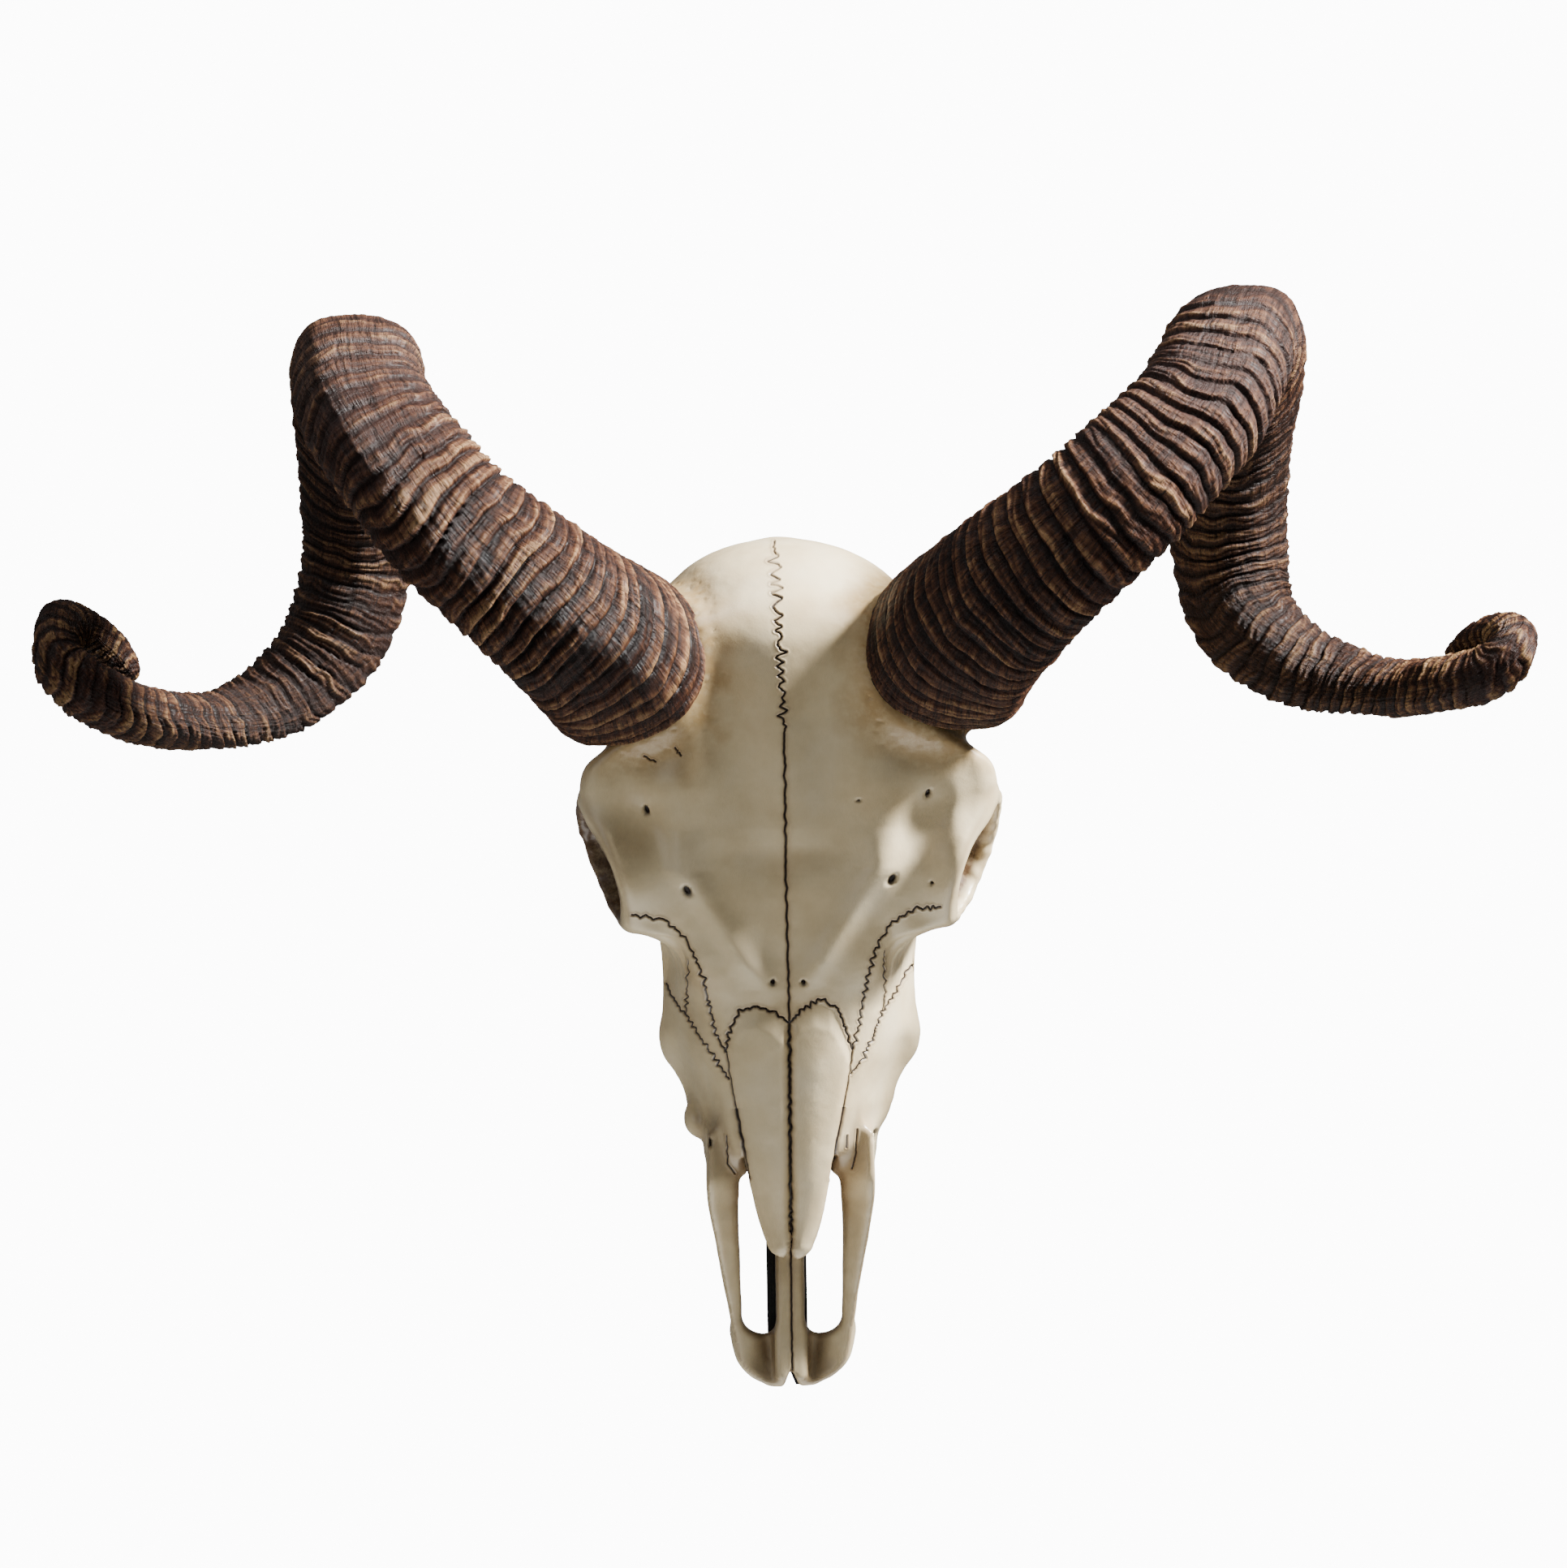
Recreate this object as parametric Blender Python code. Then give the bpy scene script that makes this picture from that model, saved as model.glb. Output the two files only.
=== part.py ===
"""Cast ram skull with curled horns, hung nose down on a wall. Metres, +Z up.

The origin lies on the flat back of the board that touches the wall. +X runs to the right of someone who
looks at the skull, and -Y out of the wall towards them. In the helper functions d is the distance out
from the wall, so that d = -Y.
"""

import math

import bmesh
import bpy
import numpy as np
from mathutils import Vector

# Driving sizes of the skull
SKULL_TOP = 0.096
SKULL_NOSE = -0.206
SIDE_BIAS = 0.036  # the right half of the casting is this share wider, and the left half narrower
GAP = 0.0003  # what touching pieces keep between them

# The faceted skin of the bones
GRID = 0.002
BONE_TRIANGLES = 7600

# The board behind the skull
BOARD_THICK = 0.008
HANGER_SIZE = (0.042, 0.0016, 0.022)
HANGER_Z = 0.034

# The horns
HORN_SIDES = 18
HORN_RIDGES = 38
RIDGE_HEIGHT = 0.0010
LENGTH_NAMES = ("root", "crown", "shank", "tip")


def clear_scene():
    for obj in list(bpy.data.objects):
        bpy.data.objects.remove(obj)


def smooth_min(a, b, r):
    h = np.clip(0.5 + 0.5 * (b - a) / r, 0, 1)
    return b + (a - b) * h - r * h * (1 - h)


def smooth_max(a, b, r):
    return -smooth_min(-a, -b, r)


def along(t, stations):
    """A smooth curve through (place, value) stations, level beyond both ends."""
    place = np.array([s[0] for s in stations])
    value = np.array([s[1] for s in stations])
    slope = np.gradient(value, place)
    slope[0] = slope[-1] = 0
    t = np.clip(t, place[0], place[-1])
    i = np.clip(np.searchsorted(place, t) - 1, 0, len(place) - 2)
    span = place[i + 1] - place[i]
    u = (t - place[i]) / span
    return (
        value[i] * (1 + 2 * u) * (1 - u) ** 2
        + slope[i] * span * u * (1 - u) ** 2
        + value[i + 1] * u * u * (3 - 2 * u)
        - slope[i + 1] * span * u * u * (1 - u)
    )


def hump(x, z, centre, reach):
    """A soft round swelling of height 1 on the face."""
    return np.exp(-(((x - centre[0]) / reach[0]) ** 2) - ((z - centre[1]) / reach[1]) ** 2)


def ellipsoid(p, centre, radii):
    q = [(a - c) / r for a, c, r in zip(p, centre, radii)]
    k0 = np.sqrt(q[0] ** 2 + q[1] ** 2 + q[2] ** 2)
    k1 = np.sqrt(sum((a / r) ** 2 for a, r in zip(q, radii)))
    return k0 * (k0 - 1) / np.maximum(k1, 1e-6)


def rod(p, start, end, start_radius, end_radius):
    """A round bar that tapers from one point to the other."""
    a, b = np.array(start), np.array(end)
    run = b - a
    t = sum((p[i] - a[i]) * run[i] for i in range(3)) / run.dot(run)
    t = np.clip(t, 0, 1)
    away = np.sqrt(sum((p[i] - a[i] - t * run[i]) ** 2 for i in range(3)))
    return away - start_radius - (end_radius - start_radius) * t


# Height of the midline of the face over the wall, from the nasal tips to the forehead
FACE_HEIGHT = [
    (-0.158, 0.0460), (-0.122, 0.0590), (-0.074, 0.0755), (-0.040, 0.0860), (0.000, 0.0980),
    (0.030, 0.1060), (0.062, 0.1070),
]
# Half width of the cheeks, and of the face just under the nasal bones
CHEEK_WIDTH = [
    (-0.130, 0.0297), (-0.1215, 0.0294), (-0.1157, 0.0309), (-0.1098, 0.0355), (-0.104, 0.0377),
    (-0.098, 0.0393), (-0.0925, 0.0423),
    (-0.0867, 0.0458), (-0.081, 0.0467), (-0.069, 0.0450), (-0.057, 0.0445), (-0.046, 0.0453),
    (-0.036, 0.0465),
]
RIDGE_WIDTH = [(-0.130, 0.0205), (-0.086, 0.0240), (-0.050, 0.0330), (-0.030, 0.0400)]
# Half width of the frontal bones, with the shelf that roofs the eye sockets
FRONTAL_WIDTH = [
    (-0.062, 0.0380), (-0.0450, 0.0440), (-0.0400, 0.0545), (-0.034, 0.0575), (-0.021, 0.0625),
    (-0.011, 0.0660),
    (0.000, 0.0705), (0.010, 0.0725), (0.018, 0.0690), (0.026, 0.0560), (0.036, 0.0460),
    (0.066, 0.0400),
]
# Half width of the two nasal bones together
NASAL_WIDTH = [
    (-0.159, 0.0020), (-0.1560, 0.0062), (-0.1515, 0.0086), (-0.1446, 0.0109), (-0.1302, 0.0140),
    (-0.115, 0.0168),
    (-0.1024, 0.0189), (-0.092, 0.0209), (-0.0834, 0.0221), (-0.076, 0.0222),
]
# Half width of the beak
BEAK_WIDTH = [
    (-0.2059, 0.0095), (-0.203, 0.0134), (-0.1972, 0.0184), (-0.1915, 0.0203), (-0.1856, 0.0214),
    (-0.174, 0.0233),
    (-0.1564, 0.0264), (-0.1447, 0.0284), (-0.1389, 0.0293), (-0.127, 0.0297),
]
# Width of each outer arm of the beak
ARM_WIDTH = [
    (-0.195, 0.0100), (-0.1767, 0.0084), (-0.158, 0.0094), (-0.145, 0.0114), (-0.1377, 0.0132),
    (-0.130, 0.0160),
]
# Height of the beak's upper edge over the wall
BEAK_HEIGHT = [
    (-0.206, 0.017), (-0.192, 0.0205), (-0.176, 0.026), (-0.155, 0.037), (-0.139, 0.047),
    (-0.128, 0.0525),
]

# Where the right horn leaves the skull and which way, and its eye socket, as x, z and d
HORN_SEAT = (0.0530, 0.0498, 0.0870)
HORN_DIRECTION = (0.51, 0.29, 0.81)

ORBIT_CENTRE = (0.0658, -0.0178, 0.0690)
ORBIT_AXIS = (0.920, -0.345, 0.184)
ORBIT_RADIUS = 0.0198
ORBIT_RIM = 0.0062
ORBIT_DEPTH = 0.030


def braincase(p):
    x, z, d = p
    dome = ellipsoid((x, z, d), (0, 0.0612, 0.0560), (0.0472, 0.0346, 0.0500))
    nape = ellipsoid((x, z, d), (0, 0.0580, 0.0330), (0.0370, 0.0310, 0.0260))
    skull = smooth_min(dome, nape, 0.012)
    crest = rod(p, (0.0, 0.0885, 0.052), (0.030, 0.0760, 0.040), 0.0045, 0.0050)
    skull = smooth_min(skull, crest, 0.008)
    condyle = ellipsoid(p, (0.0135, 0.0800, 0.0200), (0.0085, 0.0095, 0.0105))
    skull = smooth_min(skull, condyle, 0.004)
    bulla = ellipsoid(p, (0.0240, 0.0420, 0.0190), (0.0090, 0.0130, 0.0095))
    skull = smooth_min(skull, bulla, 0.004)
    jugular = rod(p, (0.0300, 0.0660, 0.026), (0.0290, 0.0640, 0.0050), 0.0060, 0.0030)
    skull = smooth_min(skull, jugular, 0.006)
    magnum = ellipsoid(p, (0.0, 0.0920, 0.0300), (0.0090, 0.0160, 0.0085))
    return smooth_max(skull, -magnum, 0.003)


def frontal(p):
    """The forehead, from the nasal bones up to between the horns, with the shelf over the eye sockets."""
    x, z, d = p
    top = along(z, FACE_HEIGHT) - 1.8 * x * x
    top = top - 0.0030 * hump(x, z, (0.020, 0.030), (0.012, 0.026))
    top = top - 0.0030 * hump(x, z, (0.009, -0.036), (0.014, 0.026))
    top = top + 0.0024 * hump(x, z, (0.036, -0.016), (0.008, 0.024))
    top = top - 0.0034 * hump(x, z, (0.052, -0.010), (0.009, 0.013))
    top = top - 0.0030 * hump(x, z, (0.044, 0.020), (0.012, 0.008))
    inner = along(z, [(-0.070, 0.030), (-0.040, 0.037), (0.000, 0.040), (0.060, 0.036)])
    share = np.clip((x - inner) / 0.012, 0, 1)
    under = 0.022 + (top - 0.038) * share * share * (3 - 2 * share)
    body = smooth_max(x - along(z, FRONTAL_WIDTH), d - top, 0.007)
    body = smooth_max(body, under - d, 0.007)
    return smooth_max(body, smooth_max(-0.062 - z, z - 0.066, 0.010), 0.014)


def muzzle(p):
    """Both maxillae with the cheek bones, the palate and the rows of cheek teeth."""
    x, z, d = p
    top = along(z, FACE_HEIGHT) - along(z, [(-0.100, 0.0020), (-0.060, 0.0)]) - 5.0 * x * x
    drop = np.clip((top - d) / 0.034, 0, 1)
    lower = np.clip((0.032 - d) / 0.030, 0, 1)
    wide = along(z, CHEEK_WIDTH)
    width = along(z, RIDGE_WIDTH) * (1 - drop) + wide * drop - 0.012 * lower * lower
    body = smooth_max(smooth_max(x - width, d - top, 0.010), 0.0085 - d, 0.006)
    body = smooth_max(body, smooth_max(-0.126 - z, z + 0.020, 0.010), 0.012)
    hollow = ellipsoid(p, (0.044, -0.098, 0.040), (0.0080, 0.0160, 0.0130))
    body = smooth_max(body, -hollow, 0.008)
    row = along(z, [(-0.118, 0.0215), (-0.090, 0.0275), (-0.050, 0.0290)])
    notch = 0.0008 * np.cos((z + 0.118) * 2 * math.pi / 0.0136)
    teeth = smooth_max(np.abs(x - row) - 0.0072 + notch, 0.0012 - d + notch, 0.003)
    teeth = smooth_max(teeth, d - 0.024, 0.004)
    teeth = smooth_max(teeth, smooth_max(-0.119 - z, z + 0.044, 0.003), 0.003)
    return smooth_min(body, teeth, 0.003)


def beak(p):
    """The premaxillae: an outer arm up each side, a cupped plate at the tip and a bar along the middle."""
    x, z, d = p
    height = along(z, BEAK_HEIGHT)
    width = along(z, BEAK_WIDTH)
    arm = smooth_max(x - width, width - along(z, ARM_WIDTH) - x, 0.003)
    arm = smooth_max(arm, d - height + 0.8 * (width - x), 0.004)
    arm = smooth_max(arm, height - 0.030 - d, 0.004)
    arm = smooth_max(arm, -0.2035 - z, 0.004)
    cup = 0.0150 - 0.0045 * hump(x, z, (0.0095, -0.193), (0.006, 0.010))
    plate = smooth_max(x - width, d - cup, 0.003)
    plate = smooth_max(plate, smooth_max(-0.2060 - z, z + 0.1855, 0.003), 0.003)
    bar = smooth_max(x - 0.0059, d - 0.0190, 0.003)
    bar = smooth_max(bar, -0.2045 - z, 0.003)
    whole = smooth_min(smooth_min(arm, plate, 0.005), bar, 0.003)
    whole = smooth_max(whole, 0.0085 - d, 0.003)
    whole = smooth_max(whole, z + 0.112, 0.003)
    notch = x + 0.42 * (z + 0.1995)
    return smooth_max(whole, -notch, 0.001)


def nasals(p):
    """The two nasal bones, a curved plate over the nose that ends in two points."""
    x, z, d = p
    top = along(z, FACE_HEIGHT) - 9.0 * x * x
    plate = smooth_max(x - along(z, NASAL_WIDTH), d - top, 0.003)
    plate = smooth_max(plate, top - 0.0062 - d, 0.003)
    cleft = 0.26 * (-0.1480 - z) - x
    plate = smooth_max(plate, cleft, 0.0012)
    return smooth_max(plate, smooth_max(-0.1590 - z, z + 0.060, 0.002), 0.003)


def board_edge(z, side):
    """Half width of the backing board on one side."""
    nose = along(z, [(-0.206, 0.0062), (-0.130, 0.0062), (-0.116, 0.0100)]) + (0.0020 if side < 0 else 0)
    stations = [(-0.116, 0.0100), (-0.090, 0.0165), (-0.050, 0.0185), (-0.036, 0.0290), (0.055, 0.0290)]
    back = along(z, stations)
    return np.where(z < -0.116, nose, back) + np.where(np.abs(z + 0.0752) > 0.1313, -9, 0)


def orbit_frame(p):
    """How far out of the socket's rim a point is, and how far from the socket's axis."""
    out = sum((a - c) * n for a, c, n in zip(p, ORBIT_CENTRE, ORBIT_AXIS))
    away = [a - c - out * n for a, c, n in zip(p, ORBIT_CENTRE, ORBIT_AXIS)]
    return out, np.sqrt(away[0] ** 2 + away[1] ** 2 + away[2] ** 2)


def cheek_arch(p):
    """The bar behind the eye and the arch that runs back to the braincase."""
    lower = rod(p, (0.0640, 0.0040, 0.0560), (0.0560, 0.0300, 0.0420), 0.0058, 0.0048)
    upper = rod(p, (0.0560, 0.0300, 0.0420), (0.0400, 0.0500, 0.0400), 0.0048, 0.0070)
    return smooth_min(lower, upper, 0.004)


def pedicle(p):
    """The bony boss that carries the horn."""
    boss = rod(p, (0.0300, 0.0440, 0.0560), (0.0500, 0.0500, 0.0860), 0.0280, 0.0270)
    return smooth_max(boss, sum((a - b) * n for a, b, n in zip(p, HORN_SEAT, HORN_DIRECTION)), 0.003)


def bone(x, z, d):
    """Signed distance, near enough, to the surface of the whole skull: negative inside."""
    p = (np.where(x > 0, x / (1 + SIDE_BIAS), -x / (1 - SIDE_BIAS)), z, d)
    out, away = orbit_frame(p)
    socket = smooth_max(smooth_max(away - ORBIT_RADIUS - ORBIT_RIM, out, 0.004), -0.036 - out, 0.006)
    skull = smooth_min(frontal(p), muzzle(p), 0.008)
    skull = smooth_min(skull, socket, 0.006)
    skull = smooth_min(skull, braincase(p), 0.014)
    skull = smooth_min(skull, cheek_arch(p), 0.005)
    skull = smooth_min(skull, pedicle(p), 0.010)
    eye = np.sqrt((away / ORBIT_RADIUS) ** 2 + (np.minimum(out, 0) / ORBIT_DEPTH) ** 2) - 1
    skull = smooth_max(skull, -eye * ORBIT_RADIUS, 0.002)
    across = p[0]
    room = smooth_max(across - 0.0165, 0.0145 - d, 0.006)
    room = smooth_max(room, d - along(z, FACE_HEIGHT) + 0.0062 + 9.0 * across * across, 0.004)
    room = smooth_max(room, z + 0.068, 0.008)
    skull = smooth_max(skull, -room, 0.003)
    lump = ellipsoid((x, z, d), (-0.0318, -0.1085, 0.0280), (0.0048, 0.0065, 0.0075))
    skull = smooth_min(skull, lump, 0.003)
    skull = np.minimum(skull, nasals(p))
    run = np.clip(z, -0.1800, -0.1310)
    fissure = np.hypot(across - 0.0118 - 0.0002 * np.cos(70 * (z + 0.150)), z - run) - 0.0062
    snout = smooth_max(beak(p), -fissure, 0.003)
    skull = smooth_max(skull, -smooth_max(fissure, d - 0.020, 0.002), 0.003)
    skull = smooth_min(skull, snout, 0.007)
    board = np.maximum(np.maximum(x - board_edge(z, 1), -x - board_edge(z, -1)), d - BOARD_THICK)
    return np.maximum(skull, 0.0012 - board)


def surface_net(field, low, high, step):
    """Vertices and quads of the surface where field is zero, on a cubic grid."""
    axes = [np.arange(a - 2 * step, b + 2 * step, step) for a, b in zip(low, high)]
    value = field(*np.meshgrid(*axes, indexing="ij"))
    inside = value < 0
    shape = tuple(n - 1 for n in value.shape)
    total = np.zeros(shape + (3,))
    count = np.zeros(shape)
    for axis in range(3):
        a = np.moveaxis(value, axis, 0)
        v0, v1 = a[:-1], a[1:]
        crossed = (v0 < 0) != (v1 < 0)
        part = np.where(crossed, v0 / np.where(crossed, v0 - v1, 1), 0)
        crossed, part = np.moveaxis(crossed, 0, axis), np.moveaxis(part, 0, axis)
        others = [i for i in range(3) if i != axis]
        for i in (0, 1):
            for j in (0, 1):
                pick = [slice(None)] * 3
                pick[others[0]] = slice(i, shape[others[0]] + i)
                pick[others[1]] = slice(j, shape[others[1]] + j)
                hit, share = crossed[tuple(pick)], part[tuple(pick)]
                total[..., axis] += share
                total[..., others[0]] += hit * i
                total[..., others[1]] += hit * j
                count += hit
    active = count > 0
    index = np.full(shape, -1)
    index[active] = np.arange(active.sum())
    corner = np.stack(np.nonzero(active), axis=1)
    points = corner + total[active] / count[active][:, None]
    points = points * step + np.array([a[0] for a in axes])
    quads = []
    for axis in range(3):
        others = [i for i in range(3) if i != axis]
        a, b = np.moveaxis(inside, axis, 0)[:-1], np.moveaxis(inside, axis, 0)[1:]
        cut = np.moveaxis(a != b, 0, axis)
        start = np.moveaxis(a, 0, axis)
        where = np.stack(np.nonzero(cut), axis=1)
        ring = []
        for i, j in ((-1, -1), (0, -1), (0, 0), (-1, 0)):
            cell = where.copy()
            cell[:, others[0]] += i
            cell[:, others[1]] += j
            ring.append(index[tuple(cell.T)])
        ring = np.stack(ring, axis=1)
        turned = start[tuple(where.T)] ^ (axis != 1)
        ring[turned] = ring[turned][:, ::-1]
        quads.append(ring)
    return points, np.concatenate(quads)


def mesh_object(name, points, faces):
    mesh = bpy.data.meshes.new(name)
    mesh.from_pydata([tuple(v) for v in points], [], [tuple(f) for f in faces])
    mesh.validate()
    obj = bpy.data.objects.new(name, mesh)
    bpy.context.scene.collection.objects.link(obj)
    return obj


def finished_mesh(obj):
    """The object's mesh with its modifiers applied."""
    graph = bpy.context.evaluated_depsgraph_get()
    return bpy.data.meshes.new_from_object(obj.evaluated_get(graph))


def skull_skin():
    """The whole skull as one closed, faceted mesh."""
    low, high = (-0.096, SKULL_NOSE - 0.004, -0.004), (0.096, SKULL_TOP + 0.008, 0.136)
    points, quads = surface_net(bone, low, high, GRID)
    world = np.stack([points[:, 0], -points[:, 2], points[:, 1]], axis=1)
    whole = mesh_object("whole", world, quads[:, ::-1])
    even = whole.modifiers.new("even", "REMESH")
    even.mode = "VOXEL"
    even.voxel_size = GRID
    thin = whole.modifiers.new("thin", "DECIMATE")
    thin.ratio = BONE_TRIANGLES / (2 * len(quads))
    thin.use_collapse_triangulate = True
    mesh = finished_mesh(whole)
    bpy.data.objects.remove(whole)
    return mesh


# Lines on the face along which the bones are parted, as x and z. The last two are for the right side.
FRONTAL_SUTURE = [
    (-0.0850, -0.0350), (-0.0526, -0.0350), (-0.0415, -0.0370), (-0.0334, -0.0451), (-0.0288, -0.0552),
    (-0.0243, -0.0775), (-0.0213, -0.0833), (-0.0198, -0.0770), (-0.0157, -0.0693), (-0.0096, -0.0677),
    (-0.0040, -0.0697), (0.0000, -0.0740), (0.0046, -0.0695), (0.0127, -0.0654), (0.0187, -0.0690),
    (0.0223, -0.0806), (0.0231, -0.0833), (0.0251, -0.0760), (0.0283, -0.0588), (0.0314, -0.0487),
    (0.0374, -0.0401), (0.0455, -0.0347), (0.0546, -0.0341), (0.0850, -0.0341),
]
NASAL_SIDE = [
    (0.0229, -0.0870), (0.0214, -0.0920), (0.0193, -0.1030), (0.0172, -0.1150), (0.0156, -0.1240),
    (0.0150, -0.1650),
]
FORK = [
    (0.0215, -0.1155), (0.0208, -0.1240), (0.0235, -0.1300), (0.0290, -0.1365), (0.0450, -0.1410),
]


def half_gap(points, below):
    """The same line moved by half the gap, down for the bone below it and up for the one above."""
    return [(x, z - GAP / 2 if below else z + GAP / 2) for x, z in points]


def prism(name, outline, floor):
    """A solid over a flat outline. Its floor is the plane d = floor[0] + floor[1] * z."""
    low = [(x, -(floor[0] + floor[1] * z), z) for x, z in outline]
    high = [(x, -0.20, z) for x, z in outline]
    n = len(outline)
    sides = [(i, (i + 1) % n, n + (i + 1) % n, n + i) for i in range(n)]
    obj = mesh_object(name, low + high, [tuple(range(n))[::-1], tuple(range(n, 2 * n))] + sides)
    outward(obj.data)
    return obj


def outward(mesh):
    bm = bmesh.new()
    bm.from_mesh(mesh)
    bmesh.ops.recalc_face_normals(bm, faces=bm.faces)
    bm.to_mesh(mesh)
    bm.free()


def carve(source, tool, operation):
    """A new object with the tool kept from, or taken out of, the source."""
    obj = bpy.data.objects.new("work", source.data.copy())
    bpy.context.scene.collection.objects.link(obj)
    change = obj.modifiers.new("carve", "BOOLEAN")
    change.object = tool
    change.operation = operation
    change.solver = "EXACT"
    mesh = finished_mesh(obj)
    bpy.data.objects.remove(obj)
    result = bpy.data.objects.new("work", mesh)
    bpy.context.scene.collection.objects.link(result)
    return result


def largest_only(mesh):
    """Keep only the closed surface with the most faces."""
    bm = bmesh.new()
    bm.from_mesh(mesh)
    left, groups = set(bm.faces), []
    while left:
        front = [left.pop()]
        group = list(front)
        while front:
            face = front.pop()
            for edge in face.edges:
                for other in edge.link_faces:
                    if other in left:
                        left.remove(other)
                        front.append(other)
                        group.append(other)
        groups.append(group)
    groups.sort(key=len)
    bmesh.ops.delete(bm, geom=[f for g in groups[:-1] for f in g], context="FACES")
    bmesh.ops.dissolve_degenerate(bm, edges=bm.edges, dist=0.00002)
    bmesh.ops.triangulate(bm, faces=bm.faces)
    bm.to_mesh(mesh)
    bm.free()


def material(name, colour, roughness, metallic=0.0):
    mat = bpy.data.materials.new(name)
    mat.use_nodes = True
    shader = mat.node_tree.nodes["Principled BSDF"]
    shader.inputs["Base Color"].default_value = (*colour, 1.0)
    shader.inputs["Roughness"].default_value = roughness
    shader.inputs["Metallic"].default_value = metallic
    return mat


def keep(obj, name, mat):
    largest_only(obj.data)
    obj.name = name
    obj.data.name = name
    obj.data.materials.clear()
    obj.data.materials.append(mat)
    for face in obj.data.polygons:
        face.use_smooth = False
    print(name, len(obj.data.polygons))


def bones(whole, mat):
    """Part the skull along its sutures, with the gap between neighbours."""
    floor = (0.0920, 0.345)
    right = [(0.0, -0.0740)] + [q for q in FRONTAL_SUTURE if 0 < q[0] < 0.0232] + NASAL_SIDE + [(0.0, -0.1650)]
    left = [(0.0, -0.0740)] + [q for q in FRONTAL_SUTURE[::-1] if -0.0214 < q[0] < 0]
    left = left + [(-0.93 * x, z) for x, z in NASAL_SIDE] + [(0.0, -0.1650)]
    ring = left[1:-1][::-1] + [(0.0, -0.0740)] + right[1:-1]
    nose = prism("nose", [(x * 1.012, z + 0.0002) for x, z in ring], (floor[0] - GAP, floor[1]))
    clear = board_blank("clear", 2 * GAP)
    backless = carve(whole, clear, "DIFFERENCE")
    seats = [horn_seat("seat_left", LEFT_HORN), horn_seat("seat_right", RIGHT_HORN)]
    seated = carve(backless, seats[0], "DIFFERENCE")
    open_back = carve(seated, seats[1], "DIFFERENCE")
    rest = carve(open_back, nose, "DIFFERENCE")
    for side, outline in (("left", left), ("right", right)):
        shift = GAP / 2 if side == "right" else -GAP / 2
        tool = prism("tool", [(x * 0.99 + shift, z - 0.0002) for x, z in outline], floor)
        keep(carve(whole, tool, "INTERSECT"), "nasal_" + side, mat)
        bpy.data.objects.remove(tool)
    top = prism("tool", half_gap(FRONTAL_SUTURE, False) + [(0.085, 0.12), (-0.085, 0.12)], (-0.01, 0))
    keep(carve(rest, top, "INTERSECT"), "cranium", mat)
    fork_right = FORK + [(0.0450, -0.22), (0.0, -0.22), (0.0, -0.1155)]
    fork_left = [(-0.93 * x, z) for x, z in fork_right]
    low = FRONTAL_SUTURE[0][0], FRONTAL_SUTURE[-1][0]
    line = half_gap([(-x * 0.93, z) for x, z in FORK[::-1]] + FORK, False)
    face = half_gap(FRONTAL_SUTURE, True) + [(low[1], line[-1][1])] + line[::-1] + [(low[0], line[0][1])]
    cheek = prism("tool2", face, (-0.01, 0))
    keep(carve(rest, cheek, "INTERSECT"), "maxilla", mat)
    for side, outline in (("left", fork_left), ("right", fork_right)):
        way = 1 if side == "right" else -1
        inner = [(x - way * GAP if x else way * GAP / 2, z - GAP / 2) for x, z in outline]
        tool = prism("tool3", inner, (-0.01, 0))
        keep(carve(rest, tool, "INTERSECT"), "premaxilla_" + side, mat)
        bpy.data.objects.remove(tool)
    for obj in [nose, clear, backless, seated, open_back, rest, top, cheek, whole] + seats:
        bpy.data.objects.remove(obj)


# Middle of each horn from the skull to the tip, as x, z, d, half width and half thickness
LEFT_HORN = [
    (-0.0505, 0.0510, 0.0870, 0.0305, 0.0320), (-0.0620, 0.0610, 0.1075, 0.0296, 0.0305),
    (-0.0807, 0.0749, 0.1250, 0.0268, 0.0262), (-0.1064, 0.0958, 0.1380, 0.0248, 0.0228),
    (-0.1242, 0.1164, 0.1370, 0.0238, 0.0218), (-0.1392, 0.1370, 0.1230, 0.0230, 0.0215),
    (-0.1440, 0.1540, 0.0970, 0.0220, 0.0210), (-0.1462, 0.1455, 0.0690, 0.0220, 0.0200),
    (-0.1470, 0.1198, 0.0460, 0.0206, 0.0185), (-0.1490, 0.0915, 0.0350, 0.0195, 0.0170),
    (-0.1562, 0.0668, 0.0360, 0.0188, 0.0163), (-0.1700, 0.0491, 0.0420, 0.0166, 0.0138),
    (-0.1865, 0.0387, 0.0520, 0.0153, 0.0099), (-0.2040, 0.0345, 0.0680, 0.0143, 0.0095),
    (-0.2215, 0.0370, 0.0860, 0.0140, 0.0099), (-0.2385, 0.0458, 0.0980, 0.0135, 0.0102),
    (-0.2492, 0.0575, 0.0990, 0.0122, 0.0092), (-0.2455, 0.0690, 0.0870, 0.0100, 0.0078),
    (-0.2345, 0.0625, 0.0730, 0.0086, 0.0070), (-0.2250, 0.0502, 0.0640, 0.0058, 0.0045),
]
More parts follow.
